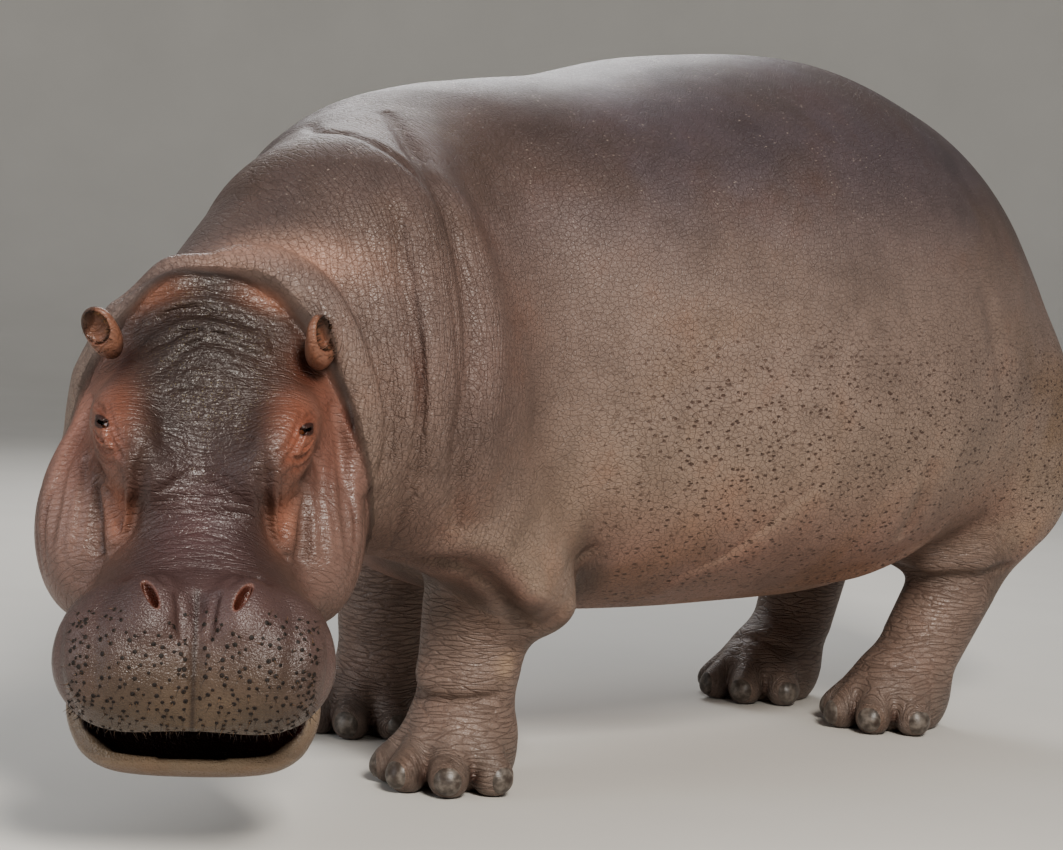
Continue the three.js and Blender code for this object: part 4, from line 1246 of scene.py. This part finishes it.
def paint_hide(points, normals):
    """Each vertex's tone, with painted shade in its folds and hollows, how wet, pitted, lined and scuffed
    it is, and the run of its folds.
    """
    near_air, far_air = openness(points, normals, 0.012), openness(points, normals, 0.05)
    body = points - SHIFT
    height, facing = points[:, 2], normals[:, 2]
    head_tint, h, twin = paint_head(points, near_air)
    crease = 0.145 - 3.2 * h[:, 0] ** 2
    on_head = (1 - ease(h[:, 1] - crease, -0.01, 0.02)) * ease(h[:, 2], -0.56, -0.47)
    legs = np.zeros(len(points))
    for foot in FEET.values():
        away = np.hypot(body[:, 0] - foot["at"][0], body[:, 1] - foot["at"][1] - 0.06)
        legs = np.maximum(legs, (1 - ease(away, 0.17, 0.28)) * (1 - ease(height, 0.38, 0.60)))
    low = 1 - ease(height, 0.42, 0.90)
    layers = [
        (ease(height, 0.75, 1.25) * ease(facing, -0.35, 0.70), "4c4144"),
        (low, "917d6d"),
        (low * ease(-facing, 0.2, 0.8), "8f7064"),
        (spot(body, (0.45, -0.95, 0.85), (0.5, 0.28, 0.42)), "6a5750"),
        (spot(body, (0.20, -1.05, 1.22), (0.40, 0.30, 0.20)), "54453f"),
        (spot(h, (0.12, 0.19, 0.03), (0.16, 0.045, 0.08)) * 0.8, "b8917f"),
        (legs, "7e6b61"),
        (legs * (1 - ease(height, 0.05, 0.16)), "74655c"),
        (legs * spot(body, (0.32, -0.66, 0.25), (0.024, 0.02, 0.026)), "ac937e"),
    ]
    tint = paint(layers, "816f65")
    tint += on_head[:, None] * (head_tint - tint)
    # painted shade: the tone darkens deep in folds, and more broadly in hollows where the air over the skin
    # is close
    deep = 0.30 + 0.70 * ease(near_air, 0.05, 0.9)
    tint = tint * deep[:, None] ** [0.75, 1.1, 1.2]
    tint *= (0.70 + 0.30 * ease(far_air, 0.1, 0.95))[:, None]
    back = h[:, 1]
    muzzle = on_head * (1 - ease(back, -0.50, -0.36))
    mouth = on_head * (1 - ease(lengths((twin - [0, -0.445, -0.262]) / [0.19, 0.175, 0.060]), 1, 1.1))
    gloss = 0.22 + 0.24 * on_head + 0.15 * muzzle + 0.08 * legs + 0.4 * mouth + 0.15 * (1 - near_air)
    flank = (1 - on_head) * (1 - legs) * (1 - ease(height, 0.78, 1.05)) * ease(body[:, 1], -0.75, -0.35)
    netted = 1 - 0.45 * legs - on_head * (0.60 + 0.2 * muzzle)
    forehead = on_head * spot(twin, (0, -0.06, 0.04), (0.13, 0.20, 0.12), 3.0)
    grained = 0.30 + 0.9 * muzzle
    lumpy = np.maximum(forehead, 0.25 * muzzle)
    lined = 0.10 + 0.75 * legs + on_head * (0.30 - 0.25 * muzzle)
    lined += (1 - on_head) * (1 - legs) * 0.45 * (1 - ease(body[:, 1], -0.95, -0.65))
    scuffed = (1 - on_head) * ease(height, 0.95, 1.25)
    run = body[:, 1] + legs * (height - body[:, 1]) + on_head * (back - body[:, 1])
    return dict(tint=tint, gloss=gloss, pitted=flank, lined=lined, netted=netted, scuffed=scuffed,
                grained=grained, lumpy=lumpy, run=run)


# ---- the small pieces ---------------------------------------------------------------------------


def band_faces(ring):
    """Two triangles for each cell of a grid of point numbers whose rows close on themselves."""
    turned = np.roll(ring, -1, 1)
    a, b, c, d = (x.reshape(-1) for x in (ring[:-1], turned[:-1], turned[1:], ring[1:]))
    return np.concatenate([np.stack([a, b, c], -1), np.stack([a, c, d], -1)])


def tube_faces(rows, around):
    """Triangles of a closed grid of rows of points round a form, with one point at each end."""
    first, last = 0, 1 + rows * around
    ring = 1 + np.arange(rows * around).reshape(rows, around)
    turned = np.roll(ring, -1, 1)
    bottom = np.stack([np.full(around, first), turned[0], ring[0]], -1)
    top = np.stack([np.full(around, last), ring[-1], turned[-1]], -1)
    return np.concatenate([bottom, band_faces(ring), top])


def ball_points(rows, around):
    """Unit directions: a point at each pole and rows of points round the z axis between them."""
    tilt = np.pi * (np.arange(rows) + 1)[:, None] / (rows + 1)
    turn = 2 * np.pi * np.arange(around)[None] / around
    x, y = np.sin(tilt) * np.cos(turn), -np.sin(tilt) * np.sin(turn)
    ring = np.stack([x, y, -np.cos(tilt) + 0 * turn], -1).reshape(-1, 3)
    return np.concatenate([[[0, 0, -1]], ring, [[0, 0, 1]]])


def make_eyes(material):
    """Each eye is a ball with a low bulge over its iris."""
    rows, around = 30, 40
    ball = ball_points(rows, around)
    frame_axes = turn_of(turn_between(LID_LINE, EYE_OUT))
    bulge = 1 + 0.06 * ease(ball[:, 2], 0.70, 0.86)
    local = np.array(EYE_AT) + (ball * bulge[:, None] * (EYE_RADIUS - 0.001)) @ frame_axes.T
    for side, name in ((1, "eye_left"), (-1, "eye_right")):
        world = HEAD.outside(local * [side, 1, 1])
        faces = tube_faces(rows, around)[:, :: side]
        piece = piece_of(name + "_ball", world, faces, material, [name])
        give(piece, "across", ball[:, 0] + 3 * (ball[:, 2] < 0))
        give(piece, "up", ball[:, 1])


def make_nails(material):
    """A nail is a worn round cap on each toe: flat below, sloping back above."""
    rows, around = 16, 24
    half_width, half_depth, half_height, lowest = 0.030, 0.026, 0.031, -0.0345
    ball = ball_points(rows, around)
    faces = tube_faces(rows, around)
    for name, foot in FEET.items():
        place = foot_place(foot)
        for number, angle in enumerate(TOE_ANGLES):
            way = toe_way(angle)
            across = np.array([-way[1], way[0], 0])
            x = ball[:, 0] * half_width
            z = np.maximum(ball[:, 2] * half_height, lowest + 0.004 * ball[:, 1] ** 2)
            y = ball[:, 1] * half_depth * (1 - 0.22 * ball[:, 2])
            middle = way * FOOT_STRETCH * NAIL_REACH + [0, 0, TOE_HEIGHT]
            local = middle + x[:, None] * across + y[:, None] * way + z[:, None] * [0, 0, 1]
            node = f"nail_{name}_{number + 1}"
            piece_of(node + "_horn", place.outside(local), faces, material, [node])


def make_hairs(name, roots, ways, size, width, droop, material, place, sides=3, rings=4):
    """A piece of thin cones: at t, the middle of each is its root + way * size * t + droop * t^2."""
    count = len(roots)
    droop = np.broadcast_to(droop, roots.shape)
    side = unit(np.cross(ways, [0.31, 0.52, 0.79]))
    other = np.cross(ways, side)
    t = np.linspace(0, 1, rings + 1)[:-1]
    turn = 2 * np.pi * np.arange(sides) / sides
    middle = roots[:, None] + ways[:, None] * (size[:, None] * t)[..., None]
    middle = middle + droop[:, None] * (t**2)[None, :, None]
    radius = width * (1 - 0.85 * t)
    ring = np.cos(turn)[:, None] * side[:, None, None] + np.sin(turn)[:, None] * other[:, None, None]
    body = (middle[:, :, None] + radius[:, None, None] * ring).reshape(count, -1, 3)
    foot = (roots - ways * 0.001)[:, None]
    tip = (roots + ways * size[:, None] + droop)[:, None]
    cones = np.concatenate([foot, body, tip], 1)
    repeated_piece(name, cones, tube_faces(rings, sides), material, roots, place)


def repeated_piece(name, shapes, faces, material, roots, place):
    """One piece of many like shapes, each with these faces, and its bake map.

    OFBake: each shape is a patch 0.003 across at its root's place on the skin unrolled round its axis.
    """
    count, per_shape = shapes.shape[:2]
    faces = faces[None] + (np.arange(count) * per_shape)[:, None, None]
    piece = piece_of(name, shapes.reshape(-1, 3), faces.reshape(-1, 3), material)
    local = place.inside(roots)
    u = np.arctan2(local[:, 0], local[:, 2] + 0.2) / (2 * np.pi) + 0.5
    v = 0.5 + local[:, 1] * 0.6
    corner = np.random.default_rng(3).uniform(0, 0.003, (per_shape, 2))
    uv = (np.stack([u, v], -1)[:, None] + corner[None]).reshape(-1, 2)
    layer = piece.data.uv_layers.new(name="OFBake")
    index = np.empty(len(piece.data.loops), np.int32)
    piece.data.loops.foreach_get("vertex_index", index)
    layer.data.foreach_set("uv", uv[index].astype(np.float32).ravel())
    return piece


def on_skin(local, place):
    """Local points laid on the skin, and its normals there."""
    world = place.outside(local)
    blocks, back = in_blocks(world)
    settled = np.concatenate(in_parts(lambda part: settle(animal, part, rounds=4, step=0.003), blocks, 20))
    slope = np.concatenate(in_parts(lambda part: slope_of(animal, part, 0.004)[1], settled, 20))
    return back(settled), unit(back(slope))


def scattered(low, high, spacing, rng):
    """A hexagonal scatter over a rectangle, each point shifted a little."""
    a = np.arange(low[0], high[0], spacing)
    b = np.arange(low[1], high[1], spacing * 0.87)
    u, v = np.meshgrid(a, b)
    u = u + (np.arange(len(b)) % 2)[:, None] * spacing / 2
    flat = np.stack([u.ravel(), v.ravel()], -1)
    return flat + rng.uniform(-0.34, 0.34, flat.shape) * spacing


def make_bristles(material, pit):
    """Short stiff bristles, each on a flat disc painted dark in the middle as the shade of its pit, over
    the lobes of the muzzle and the upper lip.
    """
    rng = np.random.default_rng(7)
    flat = scattered((-0.23, -0.110), (0.23, 0.215), 0.0185, rng)
    turn = flat[:, 1] / 0.12  # round the front of the lobes, from under the lip to behind the nostrils
    start = np.stack([flat[:, 0], -0.52 - 0.14 * np.cos(turn), -0.11 + 0.11 * np.sin(turn)], -1)
    roots, out = on_skin(start, HEAD)
    h = HEAD.inside(roots)
    nostril = lengths((np.abs(h) * [1, 0, 0] + h * [0, 1, 1] - [0.070, -0.495, 0.0]) / [0.040, 0.055, 0.06])
    keep = (np.abs(h[:, 0]) > 0.010) & (h[:, 1] < -0.50) & (h[:, 2] > -0.205) & (nostril > 1)
    keep &= rng.uniform(0, 1, len(h)) < 0.88
    roots, out = roots[keep], out[keep]
    down = HEAD.turned((0, 0.2, -1))
    ways = unit(out * 0.8 + down * 0.45 + rng.normal(0, 0.28, out.shape))
    size = rng.uniform(0.008, 0.018, len(roots))
    make_hairs("muzzle_bristles", roots, ways, size, 0.0008, down * 0.002, material, HEAD)
    dome = ball_points(3, 8)
    side = unit(np.cross(out, [0.3, 0.5, 0.8]))
    axes = np.stack([side, np.cross(out, side), out], 1)
    wide = rng.uniform(0.0026, 0.0046, len(roots))
    shapes = dome[None] * np.stack([wide, wide, wide * 0 + 0.0008], -1)[:, None]
    points = roots[:, None] + np.einsum("npi,nij->npj", shapes, axes)
    piece = repeated_piece("muzzle_pits", points, tube_faces(3, 8), pit, roots, HEAD)
    # core: 1 in the middle of each disc, where the pit's shade is painted
    give(piece, "core", np.tile(ease(dome[:, 2], 0.0, 0.8), len(roots)))


def make_ear_hair(material):
    """Dark hairs fringe each ear's cup and stand in its mouth."""
    rng = np.random.default_rng(11)
    roots, ways = [], []
    for ear in EARS.values():
        turn = turn_of(ear["turn"])
        for _ in range(150):
            angle = rng.uniform(0, 2 * np.pi)
            share = rng.uniform(0.55, 1.0)
            depth = -0.011 - rng.uniform(0, 0.003)
            x, z = np.cos(angle), np.sin(angle)
            rim = np.array([0.026 * x * share, depth, 0.040 * z * share])
            roots.append(np.array(ear["at"]) + turn @ rim)
            ways.append(turn @ (-x * 0.4, -0.8, -z * 0.1 + 0.35))
    ways = unit(HEAD.turned(np.array(ways)) + rng.normal(0, 0.18, (len(ways), 3)))
    roots = on_skin(np.array(roots), HEAD)[0]
    size = rng.uniform(0.007, 0.018, len(roots))
    make_hairs("ear_hair", roots, ways, size, 0.00055, -0.1 * ways * size[:, None], material, HEAD)


def make_tail_hair(material):
    """Stiff bristles stand along both edges of the tail's last third."""
    rng = np.random.default_rng(13)
    path = smooth_path(TAIL, 12)
    count = 220
    at = rng.uniform(0.62, 1.0, count) * (len(path) - 1)
    i = np.minimum(at.astype(int), len(path) - 2)
    middle = path[i] + (at - i)[:, None] * (path[i + 1] - path[i])
    along = unit(path[i + 1] - path[i])
    sign = rng.choice([-1, 1], count)
    aside = np.stack([sign * 1.0, rng.normal(0, 0.25, count), np.zeros(count)], -1)
    roots = on_skin(middle + 0.02 * unit(aside), BODY)[0]
    ways = unit(unit(aside) * 0.45 + along + rng.normal(0, 0.1, (count, 3)))
    size = rng.uniform(0.030, 0.075, count)
    make_hairs("tail_tuft", roots, ways, size, 0.0009, (0, 0, -0.010), material, BODY)


# ---- the animal ---------------------------------------------------------------------------------

FLESH = ["trunk", "neck", "head", "jaw", "tail", "ear_left", "ear_right"]
FLESH += ["leg_" + name for name in FEET]

hide, bristle = hide_material(), bristle_material()
skin_points, skin_faces = fine_skin()
skin = piece_of("skin", skin_points, skin_faces, hide, FLESH)
for layer_name, layer_values in paint_hide(skin_points, normals_of(skin_points, skin_faces)).items():
    give(skin, layer_name, layer_values)
make_eyes(eye_material())
make_nails(nail_material())
make_bristles(bristle, pit_material())
make_ear_hair(bristle)
make_tail_hair(bristle)

# ---- the studio ---------------------------------------------------------------------------------

CAMERA_AT = np.array([3.80, -4.04, 1.02]) + SHIFT
CAMERA_YAW, CAMERA_PITCH, CAMERA_ROLL = np.radians([-45.49, -3.53, 2.67])


def floor():
    """A pale round floor whose rim rises, far from the animal, into a backdrop."""
    rings = np.array([0.5, 2, 4, 7, 10, 12, 13.5, 14.6, 15.4, 15.8, 16, 16])
    heights = np.array([0, 0, 0, 0, 0, 0.12, 0.45, 1.1, 2.1, 3.4, 5.0, 8.0])
    around = 96
    turn = 2 * np.pi * np.arange(around) / around
    x, y = rings[:, None] * np.cos(turn), rings[:, None] * np.sin(turn)
    ring = np.stack([x, y, heights[:, None] + 0 * turn], -1)
    points = np.concatenate([[[0, 0, 0]], ring.reshape(-1, 3)])
    number = 1 + np.arange(len(rings) * around).reshape(len(rings), around)
    centre = np.stack([np.zeros(around, int), number[0], np.roll(number[0], -1)], -1)
    faces = np.concatenate([centre, band_faces(number)[:, ::-1]])
    ground = bpy.data.objects.new("floor", mesh_of("floor", points, faces))
    bpy.context.scene.collection.objects.link(ground)
    ground.data.materials.append(floor_material())


def light(name, at, aim, size, watts, colour=(1, 1, 1)):
    """A square area light, turned towards a point."""
    lamp = bpy.data.lights.new(name, "AREA")
    lamp.size, lamp.energy, lamp.color = size, watts, colour
    holder = bpy.data.objects.new(name, lamp)
    aim_way = Vector(np.array(aim, float) - at)
    holder.location = at
    holder.rotation_euler = aim_way.to_track_quat("-Z", "Y").to_euler()
    bpy.context.scene.collection.objects.link(holder)


def camera():
    """The camera: forward from its yaw and pitch, then rolled."""
    forward = np.array([
        np.cos(CAMERA_PITCH) * np.sin(CAMERA_YAW),
        np.cos(CAMERA_PITCH) * np.cos(CAMERA_YAW),
        np.sin(CAMERA_PITCH),
    ])
    level = unit(np.cross(forward, [0, 0, 1]))
    above = np.cross(level, forward)
    right = np.cos(CAMERA_ROLL) * level + np.sin(CAMERA_ROLL) * above
    up = np.cross(right, forward)
    lens = bpy.data.cameras.new("camera")
    lens.lens, lens.sensor_width = 85, 36
    holder = bpy.data.objects.new("camera", lens)
    axes = np.eye(4)
    axes[:3, :3] = np.column_stack([right, up, -forward])
    axes[:3, 3] = CAMERA_AT
    holder.matrix_world = Matrix(axes)
    bpy.context.scene.collection.objects.link(holder)
    bpy.context.scene.camera = holder


floor()
light("key", (6.2, -3.4, 5.2), (0.1, -0.3, 0.8), 2.0, 720, (1.0, 0.96, 0.90))
light("fill", (-1.5, -6.5, 2.6), (0.0, -0.5, 0.8), 4.0, 130, (0.90, 0.95, 1.0))
light("rim", (-4.5, 3.5, 4.5), (0.0, 0.0, 1.0), 3.0, 170)
world = bpy.data.worlds.new("studio")
world.use_nodes = True
world.node_tree.nodes["Background"].inputs[0].default_value = (0.82, 0.84, 0.88, 1)
world.node_tree.nodes["Background"].inputs[1].default_value = 0.34
bpy.context.scene.world = world
bpy.context.scene.view_settings.look = "AgX - Medium High Contrast"
camera()
